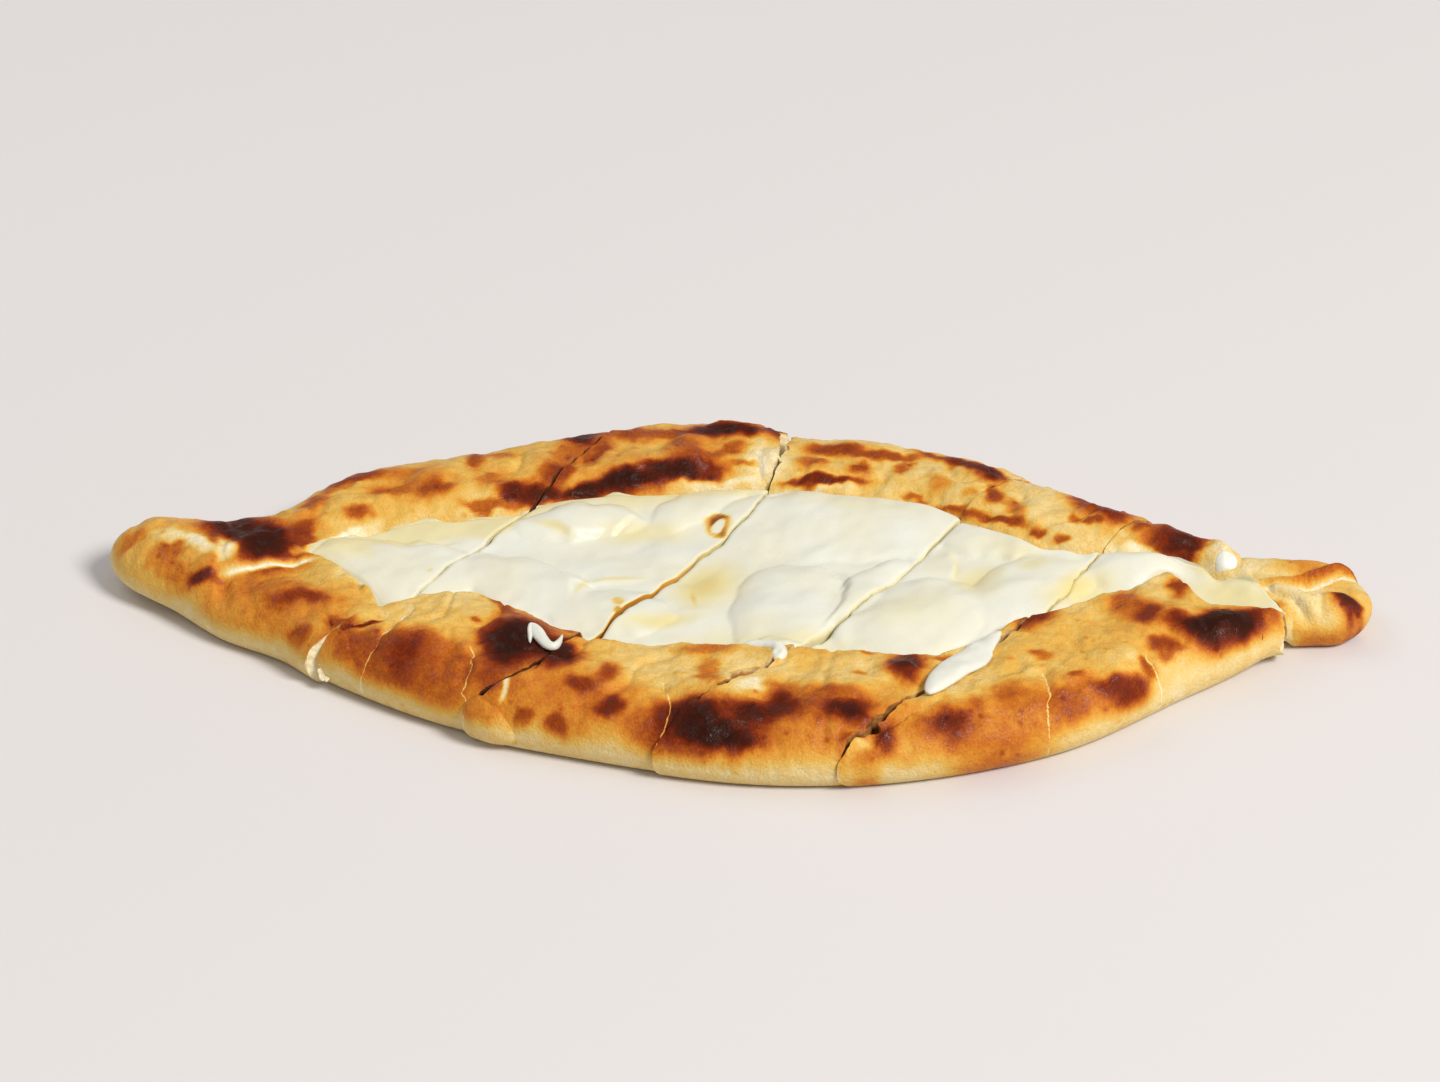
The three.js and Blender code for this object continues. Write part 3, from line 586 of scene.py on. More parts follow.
# Where the knife has nudged each slice to
SLICE_SHIFTS = [(0, 0), (1.1, 1.6), (0.3, -0.4), (-0.4, -1.5), (-0.8, -2.2), (-0.4, 4.6)]
TIP_TRIM = 0.2
EDGE_TRIM = 0.05
left_tip = outline[:, 0].min() + TIP_TRIM
right_tip = outline[:, 0].max() - TIP_TRIM


def cut_line(path):
    """X of a cut for any Y, by a cubic through its points."""
    p = np.array(path, float)
    ahead, behind = np.vstack([p[1:], p[-1:]]), np.vstack([p[:1], p[:-1]])
    slope = (ahead[:, 0] - behind[:, 0]) / (ahead[:, 1] - behind[:, 1])

    def x_at(y):
        i = np.clip(np.searchsorted(p[:, 1], y, side="right") - 1, 0, len(p) - 2)
        h = p[i + 1, 1] - p[i, 1]
        t = np.clip((y - p[i, 1]) / h, 0, 1)
        x = mix(p[i, 0], p[i + 1, 0], smooth(0, 1, t))
        x = x + h * (slope[i] * t * (1 - t) ** 2 + slope[i + 1] * t * t * (t - 1))
        return x + slope[0] * np.minimum(y - p[0, 1], 0) + slope[-1] * np.maximum(y - p[-1, 1], 0)

    return x_at


def cut_face(cut_number, side, gaps):
    """X of one face of a knife gap for any Y: side -1 is the face on its left, 1 the one on its right."""
    line = cut_line(CUTS[cut_number])
    gap = np.array(gaps[cut_number]).T
    ragged = gap[3] if len(gap) > 3 else 0 * gap[0]

    def x_at(y):
        y = np.asarray(y, float)
        row = 0 * y + 40 * cut_number
        sway = 0.7 * lumps(y, row, 6, 71) + 0.3 * lumps(y, row, 2, 72)
        jag = lumps(y, row + 9 * side, 2.4, 73) + 0.6 * lumps(y, row + 9 * side, 1.1, 74)
        jag = jag * np.interp(y, gap[0], ragged)
        return line(y) + sway + jag + side / 2 * np.interp(y, gap[0], gap[1])

    return x_at


def tip_line(x):
    return lambda y: np.full(np.shape(y), x)


WIDEST_AT = (0.0, -40.0)  # Y of the places at which a slice can be widest
REACH_LOW, REACH_HIGH, REACH_STEP = -95.0, 85.0, 0.4
REACH_HALVINGS = 14


def station_shares(left, right, step):
    """Shares from 0 at a slice's left face to 1 at its right one, at about that step."""
    width = max(right(y) - left(y) for y in WIDEST_AT)
    return np.linspace(0, 1, int(width / step))[:, None]


def reaches(x_at, depth):
    """Near and far Y of the stretch round its peak in which a depth stays positive, for each station."""
    y = np.arange(REACH_LOW, REACH_HIGH, REACH_STEP)[None, :]
    d = depth(x_at(y), y)
    peak = np.argmax(d, 1)
    columns = np.arange(d.shape[1])[None, :]
    below = np.where((d <= 0) & (columns < peak[:, None]), columns, -1).max(1)
    above = np.where((d <= 0) & (columns > peak[:, None]), columns, d.shape[1]).min(1)
    ends = []
    for outer, inner in ((below, below + 1), (above, above - 1)):
        out = REACH_LOW + REACH_STEP * outer[:, None].astype(float)
        into = REACH_LOW + REACH_STEP * inner[:, None].astype(float)
        for _ in range(REACH_HALVINGS):
            middle = (out + into) / 2
            held = depth(x_at(middle), middle) > 0
            into, out = np.where(held, middle, into), np.where(held, out, middle)
        ends.append(into)
    return ends[0], ends[1], d.max(1)


def closed_body(x, y, top, underside, levels, roughen):
    """Vertices, faces, a flag for cut faces and the count of skin vertices of a body between two surfaces.

    The surfaces lie over a grid of plan points and meet along its first and last row. The cut faces at
    both ends have their own levels.
    """
    stations, rows = x.shape
    top_at = np.arange(x.size).reshape(x.shape)
    under_at = top_at.copy()
    under_at[:, 1:-1] = x.size + np.arange(stations * (rows - 2)).reshape(stations, rows - 2)
    points = [np.stack([x, y, top], -1).reshape(-1, 3)]
    points.append(np.stack([x, y, underside], -1)[:, 1:-1].reshape(-1, 3))
    count = skin_points = sum(len(p) for p in points)
    skin = [np.stack([top_at[:-1, :-1], top_at[1:, :-1], top_at[1:, 1:], top_at[:-1, 1:]], -1)]
    skin.append(np.stack([under_at[:-1, :-1], under_at[:-1, 1:], under_at[1:, 1:], under_at[1:, :-1]], -1))
    skin = np.concatenate([s.reshape(-1, 4) for s in skin])
    cut = []
    for end, side in ((0, -1), (stations - 1, 1)):
        share = (np.arange(1, levels) / levels)[:, None]
        z = mix(underside[end], top[end], share)[:, 1:-1]
        face_y = np.broadcast_to(y[end, 1:-1], z.shape)
        depth = (top[end] - underside[end])[1:-1]
        inset = roughen(face_y, z, side) * np.minimum(1, depth / 3) * np.sin(np.pi * share) ** 0.4
        face_x = x[end, 1:-1] - side * inset
        points.append(np.stack([face_x, face_y, z], -1).reshape(-1, 3))
        grid = np.empty((levels + 1, rows), int)
        grid[0], grid[-1] = under_at[end], top_at[end]
        grid[1:-1, 1:-1] = count + np.arange(z.size).reshape(z.shape)
        grid[1:-1, 0], grid[1:-1, -1] = top_at[end, 0], top_at[end, -1]
        count += z.size
        quad = np.stack([grid[1:, :-1], grid[1:, 1:], grid[:-1, 1:], grid[:-1, :-1]], -1).reshape(-1, 4)
        cut.append(quad if side < 0 else quad[:, ::-1])
    faces = [list(dict.fromkeys(face)) for face in np.concatenate([skin, *cut]).tolist()]
    is_cut = np.arange(len(faces)) >= len(skin)
    kept = [n for n, face in enumerate(faces) if len(face) > 2]
    return np.concatenate(points), [faces[n] for n in kept], is_cut[kept], skin_points


def mesh_object(name, points, faces, slice_shift):
    """A smooth-shaded mesh whose points are millimetres in the pie's own axes."""
    place = np.array([slice_shift[0] - BOX_MIDDLE[0], slice_shift[1] - BOX_MIDDLE[1], 0])
    mesh = bpy.data.meshes.new(name)
    mesh.from_pydata(((points + place) * MILLIMETRE).tolist(), [], faces)
    mesh.polygons.foreach_set("use_smooth", np.ones(len(mesh.polygons), bool))
    piece = bpy.data.objects.new(name, mesh)
    bpy.context.scene.collection.objects.link(piece)
    return piece


def write_attribute(piece, name, values):
    attribute = piece.data.attributes.new(name, "FLOAT", "POINT")
    attribute.data.foreach_set("value", np.asarray(values, np.float32))


def linear(hex_colour):
    """An sRGB hex colour as linear red, green, blue and alpha."""
    c = np.array([int(hex_colour[i:i + 2], 16) for i in (1, 3, 5)]) / 255
    return (*np.where(c <= 0.04045, c / 12.92, ((c + 0.055) / 1.055) ** 2.4).tolist(), 1.0)


def new_finish(name):
    """A material with an empty node tree."""
    finish = bpy.data.materials.new(name)
    finish.use_nodes = True
    finish.node_tree.nodes.clear()
    return finish


def add_node(tree, kind, inputs=(), stops=(), **settings):
    """Adds a node with its settings and colour stops, and sets or links its inputs, by name or place."""
    node = tree.nodes.new(kind)
    for name, value in settings.items():
        setattr(node, name, value)
    for name, value in dict(inputs).items():
        if isinstance(value, bpy.types.NodeSocket):
            tree.links.new(value, node.inputs[name])
        else:
            node.inputs[name].default_value = value
    if stops:
        for stop, (position, colour) in zip(node.color_ramp.elements, (stops[0], stops[-1])):
            stop.position, stop.color = position, linear(colour)
    for position, colour in stops[1:-1]:
        node.color_ramp.elements.new(position).color = linear(colour)
    return node


# Baked wheat dough: a thin brittle skin, browned by the oven in soft-edged patches, brushed with butter,
# so it has a low sheen, fine pores, and red-brown to black scorched blisters.
CRUST_COLOURS = [
    (0.0, "#F6F0DE"), (0.06, "#EDE0BE"), (0.15, "#E4CB8B"), (0.28, "#DDB052"), (0.40, "#D48E30"),
    (0.50, "#BF6B1C"), (0.60, "#9C4712"), (0.70, "#78290B"), (0.82, "#4C1A0B"), (0.95, "#30130A"),
]
MOTTLE_SIZE = 3.5 * MILLIMETRE
PORE_SIZE = 0.7 * MILLIMETRE  # real pores are finer, and are drawn as coarse as shows
FRECKLE_SPACING = 4.5 * MILLIMETRE  # small bubbles that have scorched, in drifts
DRIFT_SIZE = 20 * MILLIMETRE
crust_finish = new_finish("baked wheat dough")
tree = crust_finish.node_tree
place = add_node(tree, "ShaderNodeTexCoord").outputs["Object"]
baked = add_node(tree, "ShaderNodeAttribute", attribute_name="bake").outputs["Fac"]
mottle = add_node(tree, "ShaderNodeTexNoise", {
    "Vector": place, "Scale": 1 / MOTTLE_SIZE, "Detail": 4.0, "Roughness": 0.6}).outputs["Fac"]
centred = add_node(tree, "ShaderNodeMath", {0: mottle, 1: 0.5}, operation="SUBTRACT").outputs[0]
uneven = add_node(tree, "ShaderNodeMath", {
    0: centred, 1: 0.24, 2: baked}, operation="MULTIPLY_ADD").outputs[0]
pores = add_node(tree, "ShaderNodeTexNoise", {
    "Vector": place, "Scale": 1 / PORE_SIZE, "Detail": 3.0, "Roughness": 0.55}).outputs["Fac"]
grain = add_node(tree, "ShaderNodeMapRange", {
    "Value": pores, "From Min": 0.3, "From Max": 0.7, "To Min": -0.03, "To Max": 0.03}).outputs["Result"]
uneven = add_node(tree, "ShaderNodeMath", {0: uneven, 1: grain}, operation="ADD").outputs[0]
off_freckle = add_node(tree, "ShaderNodeTexVoronoi", {
    "Vector": place, "Scale": 1 / FRECKLE_SPACING}).outputs["Distance"]
freckle = add_node(tree, "ShaderNodeMapRange", {
    "Value": off_freckle, "From Min": 0.06, "From Max": 0.26,
    "To Min": 0.12, "To Max": 0.0}).outputs["Result"]
drift = add_node(tree, "ShaderNodeTexNoise", {"Vector": place, "Scale": 1 / DRIFT_SIZE}).outputs["Fac"]
drift = add_node(tree, "ShaderNodeMapRange", {
    "Value": drift, "From Min": 0.46, "From Max": 0.6}).outputs["Result"]
uneven = add_node(tree, "ShaderNodeMath", {
    0: freckle, 1: drift, 2: uneven}, operation="MULTIPLY_ADD").outputs[0]
crack_side = add_node(tree, "ShaderNodeAttribute", attribute_name="crack_side").outputs["Fac"]
crack_off = add_node(tree, "ShaderNodeAttribute", attribute_name="crack_off").outputs["Fac"]
off_line = add_node(tree, "ShaderNodeMath", {0: crack_side}, operation="ABSOLUTE").outputs[0]
past_end = add_node(tree, "ShaderNodeMath", {0: crack_off, 1: 0.6}, operation="SUBTRACT").outputs[0]
off_line = add_node(tree, "ShaderNodeMath", {0: off_line, 1: past_end}, operation="MAXIMUM").outputs[0]
ragged = add_node(tree, "ShaderNodeMath", {
    0: centred, 1: 0.9, 2: off_line}, operation="MULTIPLY_ADD").outputs[0]
unbroken = add_node(tree, "ShaderNodeMapRange", {
    "Value": ragged, "From Min": 0.05, "From Max": 0.25, "To Min": 0.36, "To Max": 1.0}).outputs["Result"]
uneven = add_node(tree, "ShaderNodeMath", {0: uneven, 1: unbroken}, operation="MULTIPLY").outputs[0]
colour = add_node(tree, "ShaderNodeValToRGB", {0: uneven}, CRUST_COLOURS).outputs["Color"]
relief = add_node(tree, "ShaderNodeMath", {
    0: mottle, 1: 2.0, 2: pores}, operation="MULTIPLY_ADD").outputs[0]
bump = add_node(tree, "ShaderNodeBump", {
    "Height": relief, "Strength": 0.75, "Distance": 0.4 * MILLIMETRE}).outputs["Normal"]
rough = add_node(tree, "ShaderNodeMapRange", {
    "Value": pores, "From Min": 0.3, "From Max": 0.7, "To Min": 0.34, "To Max": 0.52}).outputs["Result"]
shine = add_node(tree, "ShaderNodeMapRange", {
    "Value": baked, "From Min": 0.5, "From Max": 0.85, "To Min": 0.13, "To Max": 0.05}).outputs["Result"]
buttered = add_node(tree, "ShaderNodeMapRange", {
    "Value": mottle, "From Min": 0.5, "From Max": 0.64, "To Min": 0.03, "To Max": 0.35}).outputs["Result"]
shader = add_node(tree, "ShaderNodeBsdfPrincipled", {
    "Base Color": colour, "Roughness": rough, "IOR": 1.45,
    "Subsurface Weight": 0.08, "Subsurface Radius": (1.0, 0.5, 0.25), "Subsurface Scale": 0.8 * MILLIMETRE,
    "Specular IOR Level": shine, "Coat Weight": buttered, "Coat Roughness": 0.18,
    "Normal": bump, "Coat Normal": bump})
add_node(tree, "ShaderNodeOutputMaterial", {"Surface": shader.outputs["BSDF"]})

# Bread crumb on the cut faces: pale, moist and open, torn by the knife, with no skin and no gloss.
CRUMB_COLOURS = [(0.0, "#F6EFDC"), (0.2, "#EEDDAE"), (0.45, "#C98F45"), (0.7, "#7A3F1B"), (1.0, "#2E150D")]
HOLE_SIZE = 1.6 * MILLIMETRE
crumb_finish = new_finish("bread crumb")
tree = crumb_finish.node_tree
place = add_node(tree, "ShaderNodeTexCoord").outputs["Object"]
holes = add_node(tree, "ShaderNodeTexVoronoi", {
    "Vector": place, "Scale": 1 / HOLE_SIZE}).outputs["Distance"]
baked = add_node(tree, "ShaderNodeAttribute", attribute_name="bake").outputs["Fac"]
uneven = add_node(tree, "ShaderNodeMath", {
    0: holes, 1: 0.2, 2: baked}, operation="MULTIPLY_ADD").outputs[0]
colour = add_node(tree, "ShaderNodeValToRGB", {0: uneven}, CRUMB_COLOURS).outputs["Color"]
bump = add_node(tree, "ShaderNodeBump", {
    "Height": holes, "Strength": 0.6, "Distance": 0.5 * MILLIMETRE}).outputs["Normal"]
shader = add_node(tree, "ShaderNodeBsdfPrincipled", {
    "Base Color": colour, "Roughness": 0.75, "IOR": 1.4, "Subsurface Weight": 0.25,
    "Subsurface Radius": (1.0, 0.7, 0.4), "Subsurface Scale": 2 * MILLIMETRE, "Normal": bump})
add_node(tree, "ShaderNodeOutputMaterial", {"Surface": shader.outputs["BSDF"]})

STATION_STEP = 0.62
ROW_STEP = 0.46
ROW_CROWDING = 0.88  # how strongly rows crowd towards the sides of the pie
CUT_LEVELS = 14
CRUMB_ROUGHNESS = 0.5
SHARP_FROM = np.radians(50)


def crowded(count):
    """Shares from 0 to 1 that lie close together at both ends."""
    s = np.linspace(0, 1, count)
    return mix(s, (1 - np.cos(np.pi * s)) / 2, ROW_CROWDING)


def torn(y, z, side):
    """How deep the knife has torn the crumb of a cut face."""
    coarse, fine = lumps(y + 31 * side, z, 1.7, 31), lumps(y, z + 17 * side, 0.8, 32)
    return CRUMB_ROUGHNESS * (0.6 + 0.6 * coarse + 0.4 * fine)


slice_count = len(SLICE_SHIFTS)
for number in range(slice_count):
    is_tip = number == slice_count - 1
    left = tip_line(left_tip) if number == 0 else cut_face(number - 1, 1, CRUST_GAPS)
    right = tip_line(right_tip) if is_tip else cut_face(number, -1, CRUST_GAPS)
    share = station_shares(left, right, STATION_STEP)
    station = lambda y: mix(left(y), right(y), share)
    depth = inside_tip if is_tip else inside_outline
    near, far, _ = reaches(station, lambda x, y: depth(x, y) - EDGE_TRIM)
    y = mix(near, far, crowded(int((far - near).max() / ROW_STEP))[None, :])
    x = station(y)
    top = tip_top(x, y) if is_tip else crust_top(x, y)
    top[:, 0] = top[:, -1] = BULGE_LEVEL
    underside = crust_underside(x, y, depth(x, y))
    points, faces, is_cut, skin_points = closed_body(x, y, top, underside, CUT_LEVELS, torn)
    crust = mesh_object(f"baked_crust_{number + 1}", points, faces, SLICE_SHIFTS[number])
    bake = browning(*points.T)
    half_way = (skin_points + len(points)) // 2
    # the cut faces take the gap table's brownness, partly baked colour and partly painted shade of the
    # narrow gap
    for cut_number, first, last in ((number - 1, skin_points, half_way), (number, half_way, len(points))):
        if 0 <= cut_number < len(CUTS):
            gap = np.array(CRUST_GAPS[cut_number]).T
            bake[first:last] = np.interp(points[first:last, 1], gap[0], gap[2])
    write_attribute(crust, "bake", bake)
    for name, distance in zip(("crack_side", "crack_off"), crack_distance(points[:, 0], points[:, 1])):
        write_attribute(crust, name, distance)
    crust.data.materials.append(crust_finish)
    crust.data.materials.append(crumb_finish)
    crust.data.polygons.foreach_set("material_index", is_cut.astype(np.int32))
    crust.data.set_sharp_from_angle(angle=SHARP_FROM)
    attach(crust, "root")
    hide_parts(f"crust_{number + 1}")

# The labneh: strained yoghurt, spooned into the boat of dough before baking, so it lies in folds and lenses
# and has set on top. Oil has come out of it and collects in its hollows. The knife has parted it with the
# slices and dragged it together again in places.
FILLING_LEVEL = 12.6
FILLING_CROWN = 1.4
FILLING_CROWN_REACH = 20.0
FILLING_EDGE_DROP = 1.2
FILLING_EDGE_WIDTH = 6.0
NEAR_EDGE_AT = 0.25 * WALL  # depth inside the lip at which the filling meets the near wall
FAR_EDGE_DEPTH = 0.2  # and the far wall, where it laps up to the lip
FILLING_EDGE_ROLL = 2.2  # plan width over which its edge rolls up from the wall
FILLING_NARROWEST = 1.0
FILLING_THINNEST = 0.1
FILLING_SINK = 0.05  # how far it is pressed into the crust
FAR_WALL_RISE = 2.6  # how far it is smeared and banked up against the far wall
FAR_WALL_REACH = (3, 22)
CHANNEL_LEVEL = 13.6  # its height in the channel to the right tip
CHANNEL_TILT = 1.6  # how much higher it lies on the channel's far side
CHANNEL_START = (118, 125)  # X
MOUTH_MIDDLE = [
    (-118, -8), (-93, -9), (-25, -7), (30, -5), (70, -10), (92, -6), (106, 1), (122, 5), (140, -5),
]
# Spoonfuls that lie side by side: place, half length, half width, turn in degrees, and height
SPOONFULS = [
    (-93, -9, 24, 15, -12, 3.0), (-58, -15, 29, 12, -28, 2.6), (-46, 16, 19, 7, 5, 2.4),
    (-32, -26, 17, 11, 12, 2.2), (30, 24, 37, 19, 8, 3.0), (15, -21, 24, 16, 70, 2.8),
    (34, -13, 22, 6, 64, 2.2), (50, -22, 24, 16, 45, 3.2), (78, -9, 21, 13, 35, 2.6),
    (76, 14, 22, 8, -18, 2.8), (108, 7, 17, 11, 8, 2.8), (14, -41, 7.5, 5.5, 25, 4.2),
    (-14, 26, 14, 8, 40, 1.6),
]
SPOONFUL_EDGE = 0.66  # power of the profile: smaller is steeper at the edge
SPOONFUL_BLEND = 3.0  # per millimetre: larger gives a sharper crease between two
# Edges where one spoonful lies over the next: the line, the lift on its left, and how far that reaches
LAPS = [
    ([(-59, 15), (-48, 9), (-37, 12), (-33, 16), (-29, 21)], 1.2, 8),
    ([(-44, -25), (-44, -15), (-33, -13.6), (-22.5, -10.3)], 0.9, 5),
    ([(24, 1), (31, -11), (29.5, -18), (22, -36)], 1.0, 5),
    ([(59, -5), (60, 4), (57, 13)], 0.8, 6),
    ([(-110, 4), (-98, 1), (-86, 2), (-74, 5)], -0.9, 7),
]
LAP_SWAY = 1.1
# Oil and butter fat on the filling: place, half length, half width, turn, and how yellow
OILY_PLACES = [
    (-85, 9, 14, 6, 10, 0.34), (-28, 28, 22, 6, 8, 0.34), (-27, 13, 12, 6, 10, 0.34),
    (-53, 11.5, 7, 1.6, -30, 0.40), (-7, -11, 9.5, 12.5, -32, 0.52), (94, -6, 12, 6, 30, 0.48),
    (136, -4, 16, 9, -10, 0.40), (80, 4, 5, 4, 0, 0.3), (-18, -29, 12, 3, 22, 0.42),
    (-10, -17, 0.9, 6, -3, 0.70), (-43, -17, 0.9, 6, -8, 0.48), (-33, -11, 9, 1.0, 8, 0.42),
    (66, -4, 7, 8, 0, 0.36), (60, 2, 1.0, 8, 0, 0.38), (10, -36, 30, 4, 0, 0.28),
    (75, 10, 12, 6, -10, 0.22), (30, 30, 24, 5, -12, 0.2), (108, 12, 10, 3, 0, 0.2),
    (48, -20, 14, 9, 45, 0.2),
]
OIL_EVERYWHERE = 0.06
OIL_FILM = 0.35  # how yellow the film on the far wall of the first two slices is
FILM_WIDTHS = (12, 6)  # on the first slice and on the second
FILM_NARROWING = (-72, -56)  # X
# Toasted specks: place, radius of the mark, radius of its pale middle, and how brown
TOASTED_SPECKS = [
    (-7, 17, 1.5, 2.8, 0.95), (-31, -25, 1.8, 0, 0.78), (-82, -12, 0.9, 0, 0.74), (-31, -28.5, 1.2, 0, 0.85),
]
# Gap between the filling of neighbouring slices at some places along each cut: Y and width
FILLING_GAPS = [
    [(-31, -0.1), (-10, -0.1), (2, 0.2), (26, 0.5)],
    [(-50, 0.8), (-28, 0.7), (-18, 0.4), (12, 0.4), (18, 0.2), (40, 0.4)],
    [(-50, 2.6), (-34, 1.8), (-22, 0.5), (-12, 0.1), (6, 0.1), (12, 0.6), (30, 0.8)],
    [(-50, 2.2), (-30, 0.5), (-14, 0.4), (-2, 0.2), (14, 0.4)],
    [(-20, -6), (4, -6), (14, -3)],
]
LEFT_EDGE = (1.6, 0.8)  # rounding and drop of the edge that the knife dragged towards it
RIGHT_EDGE = (0.7, 0.3)
EDGE_PROFILE = 2.2
# Fat on the faces of each cut, and painted shade of the cut's gap, at its near and far end
CUT_FAT_AND_SHADE = [(0.2, 0.2), (0.85, 0.3), (0.3, 0.3), (0.4, 0.4), (0.3, 0.3)]
CUT_FAT_AND_SHADE_SPAN = (-30, 25)  # Y of those ends
CUT_FAT_AND_SHADE_WIDTH = (0.2, 0.4)


def far_half(x, y):
    """0 on the near side of the mouth's middle line and 1 on its far side."""
    middle = np.interp(x, *np.array(MOUTH_MIDDLE).T)
    return smooth(-3, 6, y - middle)


def inside_filling(x, y):
    """Depth inside the line along which the filling meets the wall."""
    edge = mix(NEAR_EDGE_AT, FAR_EDGE_DEPTH, far_half(x, y)) + 0.6 * lumps(x, y, 7, 48)
    return inside_mouth(x, y) - edge


def filling_top(x, y):
    """Height of the filling's upper surface."""
    into_mouth = inside_mouth(x, y)
    z = FILLING_LEVEL + FILLING_CROWN * smooth(0, FILLING_CROWN_REACH, into_mouth)
    warp_x = x + 2.8 * lumps(x, y, 11, 53) + 1.1 * lumps(x, y, 4.5, 55)
    warp_y = y + 2.8 * lumps(x, y, 11, 54) + 1.1 * lumps(x, y, 4.5, 56)
    heaped = np.ones(np.shape(x))
    for *oval, height in SPOONFULS:
        along, across = in_oval(warp_x, warp_y, *oval)
        mound = height * np.clip(1 - along**2 - across**2, 0, 1) ** SPOONFUL_EDGE
        heaped = heaped + np.exp(SPOONFUL_BLEND * mound) - 1
    z = z + np.log(heaped) / SPOONFUL_BLEND
    far_side = far_half(x, y)
    z = z - (1 - far_side) * FILLING_EDGE_DROP * (1 - smooth(0, FILLING_EDGE_WIDTH, into_mouth))
    z = z + far_side * FAR_WALL_RISE * (1 - smooth(*FAR_WALL_REACH, into_mouth))
    z = mix(z, CHANNEL_LEVEL + CHANNEL_TILT * far_side, smooth(*CHANNEL_START, x))
    return z + overlap(x, y, LAPS, LAP_SWAY) + 0.5 * lumps(x, y, 9, 43) + 0.18 * lumps(x, y, 3.5, 44)


def oiliness(x, y):
    """How much yellow fat lies on the filling, from 0 to 1."""
    warp_x, warp_y = x + 2 * lumps(x, y, 8, 45), y + 2 * lumps(x, y, 8, 46)
    oil = OIL_EVERYWHERE + 0.08 * lumps(x, y, 12, 47)
    film_width = mix(*FILM_WIDTHS, smooth(*FILM_NARROWING, x)) + 2 * lumps(x, y, 9, 49)
    film = far_half(x, y) * (1 - smooth(film_width - 3, film_width + 2, inside_mouth(x, y)))
    banked = smooth(-2, 10, x) * (1 - smooth(118, 128, x))
    oil = np.maximum(oil, OIL_FILM * film * (1 - banked))
    for *oval, yellow in OILY_PLACES:
        reach = np.hypot(*in_oval(warp_x, warp_y, *oval))
        oil = np.maximum(oil, yellow * np.exp(-1.1 * reach ** 2.2))
    for tx, ty, radius, hollow, brown in TOASTED_SPECKS:
        ring = np.abs(np.hypot(x - tx, (y - ty) * 0.7) - hollow - 1.1 * lumps(x, y, 3.6, 50))
        broken = 0.8 + 0.4 * lumps(x, y, 2.6, 52)
        oil = np.maximum(oil, brown * (1 - smooth(0.5 * radius, radius, ring)) * broken)
    return oil


# Strained yoghurt: fine-grained, milk-white and moist, so light goes into it and its folds stay soft;
# where butter fat lies on it, it turns pale yellow.
LABNEH_COLOURS = [(0.0, "#E0E1D6"), (0.45, "#E0D398"), (0.72, "#D8A23F"), (1.0, "#8A4A1E")]
CURD_SIZE = 1.2 * MILLIMETRE
labneh_finish = new_finish("strained yoghurt")
tree = labneh_finish.node_tree
place = add_node(tree, "ShaderNodeTexCoord").outputs["Object"]
oil = add_node(tree, "ShaderNodeAttribute", attribute_name="oil").outputs["Fac"]
curd = add_node(tree, "ShaderNodeTexNoise", {
    "Vector": place, "Scale": 1 / CURD_SIZE, "Detail": 3.0, "Roughness": 0.5}).outputs["Fac"]
colour = add_node(tree, "ShaderNodeValToRGB", {0: oil}, LABNEH_COLOURS).outputs["Color"]
bump = add_node(tree, "ShaderNodeBump", {
    "Height": curd, "Strength": 0.25, "Distance": 0.2 * MILLIMETRE}).outputs["Normal"]
shader = add_node(tree, "ShaderNodeBsdfPrincipled", {
    "Base Color": colour, "Roughness": 0.38, "IOR": 1.36, "Subsurface Weight": 0.3,
    "Subsurface Radius": (1.0, 0.85, 0.6), "Subsurface Scale": 1.2 * MILLIMETRE,
    "Coat Weight": 0.1, "Coat Roughness": 0.2, "Normal": bump})
add_node(tree, "ShaderNodeOutputMaterial", {"Surface": shader.outputs["BSDF"]})

FILLING_STEP = 0.6
FILLING_LEVELS = 8
DRAG_DEPTH = 0.15


def wiped(y, z, side):
    """The knife leaves the filling smooth, with slight drag marks."""
    return DRAG_DEPTH * (0.5 + 0.5 * lumps(y + 13 * side, z, 2.0, 51))


for number in range(slice_count - 1):
    left = tip_line(left_tip) if number == 0 else cut_face(number - 1, 1, FILLING_GAPS)
    right = cut_face(number, -1, FILLING_GAPS)
    share = station_shares(left, right, FILLING_STEP)
    station = lambda y: mix(left(y), right(y), share)
    near, far, deepest = reaches(station, inside_filling)
    held = (deepest > 0) & ((far - near)[:, 0] > FILLING_NARROWEST)
    share, near, far = share[held], near[held], far[held]
    y = mix(near, far, crowded(int((far - near).max() / FILLING_STEP))[None, :])
    x = station(y)
    base = crust_top(x, y) - FILLING_SINK
    top = mix(base, filling_top(x, y), quarter_round(inside_filling(x, y) / FILLING_EDGE_ROLL))
    for from_cut, (rounding, drop) in ((x - left(y), LEFT_EDGE), (right(y) - x, RIGHT_EDGE)):
        top = top - drop * np.clip(1 - from_cut / rounding, 0, 1) ** EDGE_PROFILE
    top = np.maximum(top, base + FILLING_THINNEST)
    top[:, 0], top[:, -1] = base[:, 0], base[:, -1]
    points, faces = closed_body(x, y, top, base, FILLING_LEVELS, wiped)[:2]
    filling = mesh_object(f"labneh_filling_{number + 1}", points, faces, SLICE_SHIFTS[number])
    oil = oiliness(points[:, 0], points[:, 1])
    for cut_number, line in ((number - 1, left), (number, right)):
        if cut_number >= 0:
            off_cut = np.abs(points[:, 0] - line(points[:, 1]))
            # fat along the cut, with painted shade that darkens the filling where the knife parted it
            fat_and_shade = mix(*CUT_FAT_AND_SHADE[cut_number], smooth(*CUT_FAT_AND_SHADE_SPAN, points[:, 1]))
            oil = np.maximum(oil, fat_and_shade * (1 - smooth(*CUT_FAT_AND_SHADE_WIDTH, off_cut)))
    write_attribute(filling, "oil", oil)
    filling.data.materials.append(labneh_finish)
    filling.data.set_sharp_from_angle(angle=SHARP_FROM)
    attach(filling, "root")
    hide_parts(f"labneh_{number + 1}")

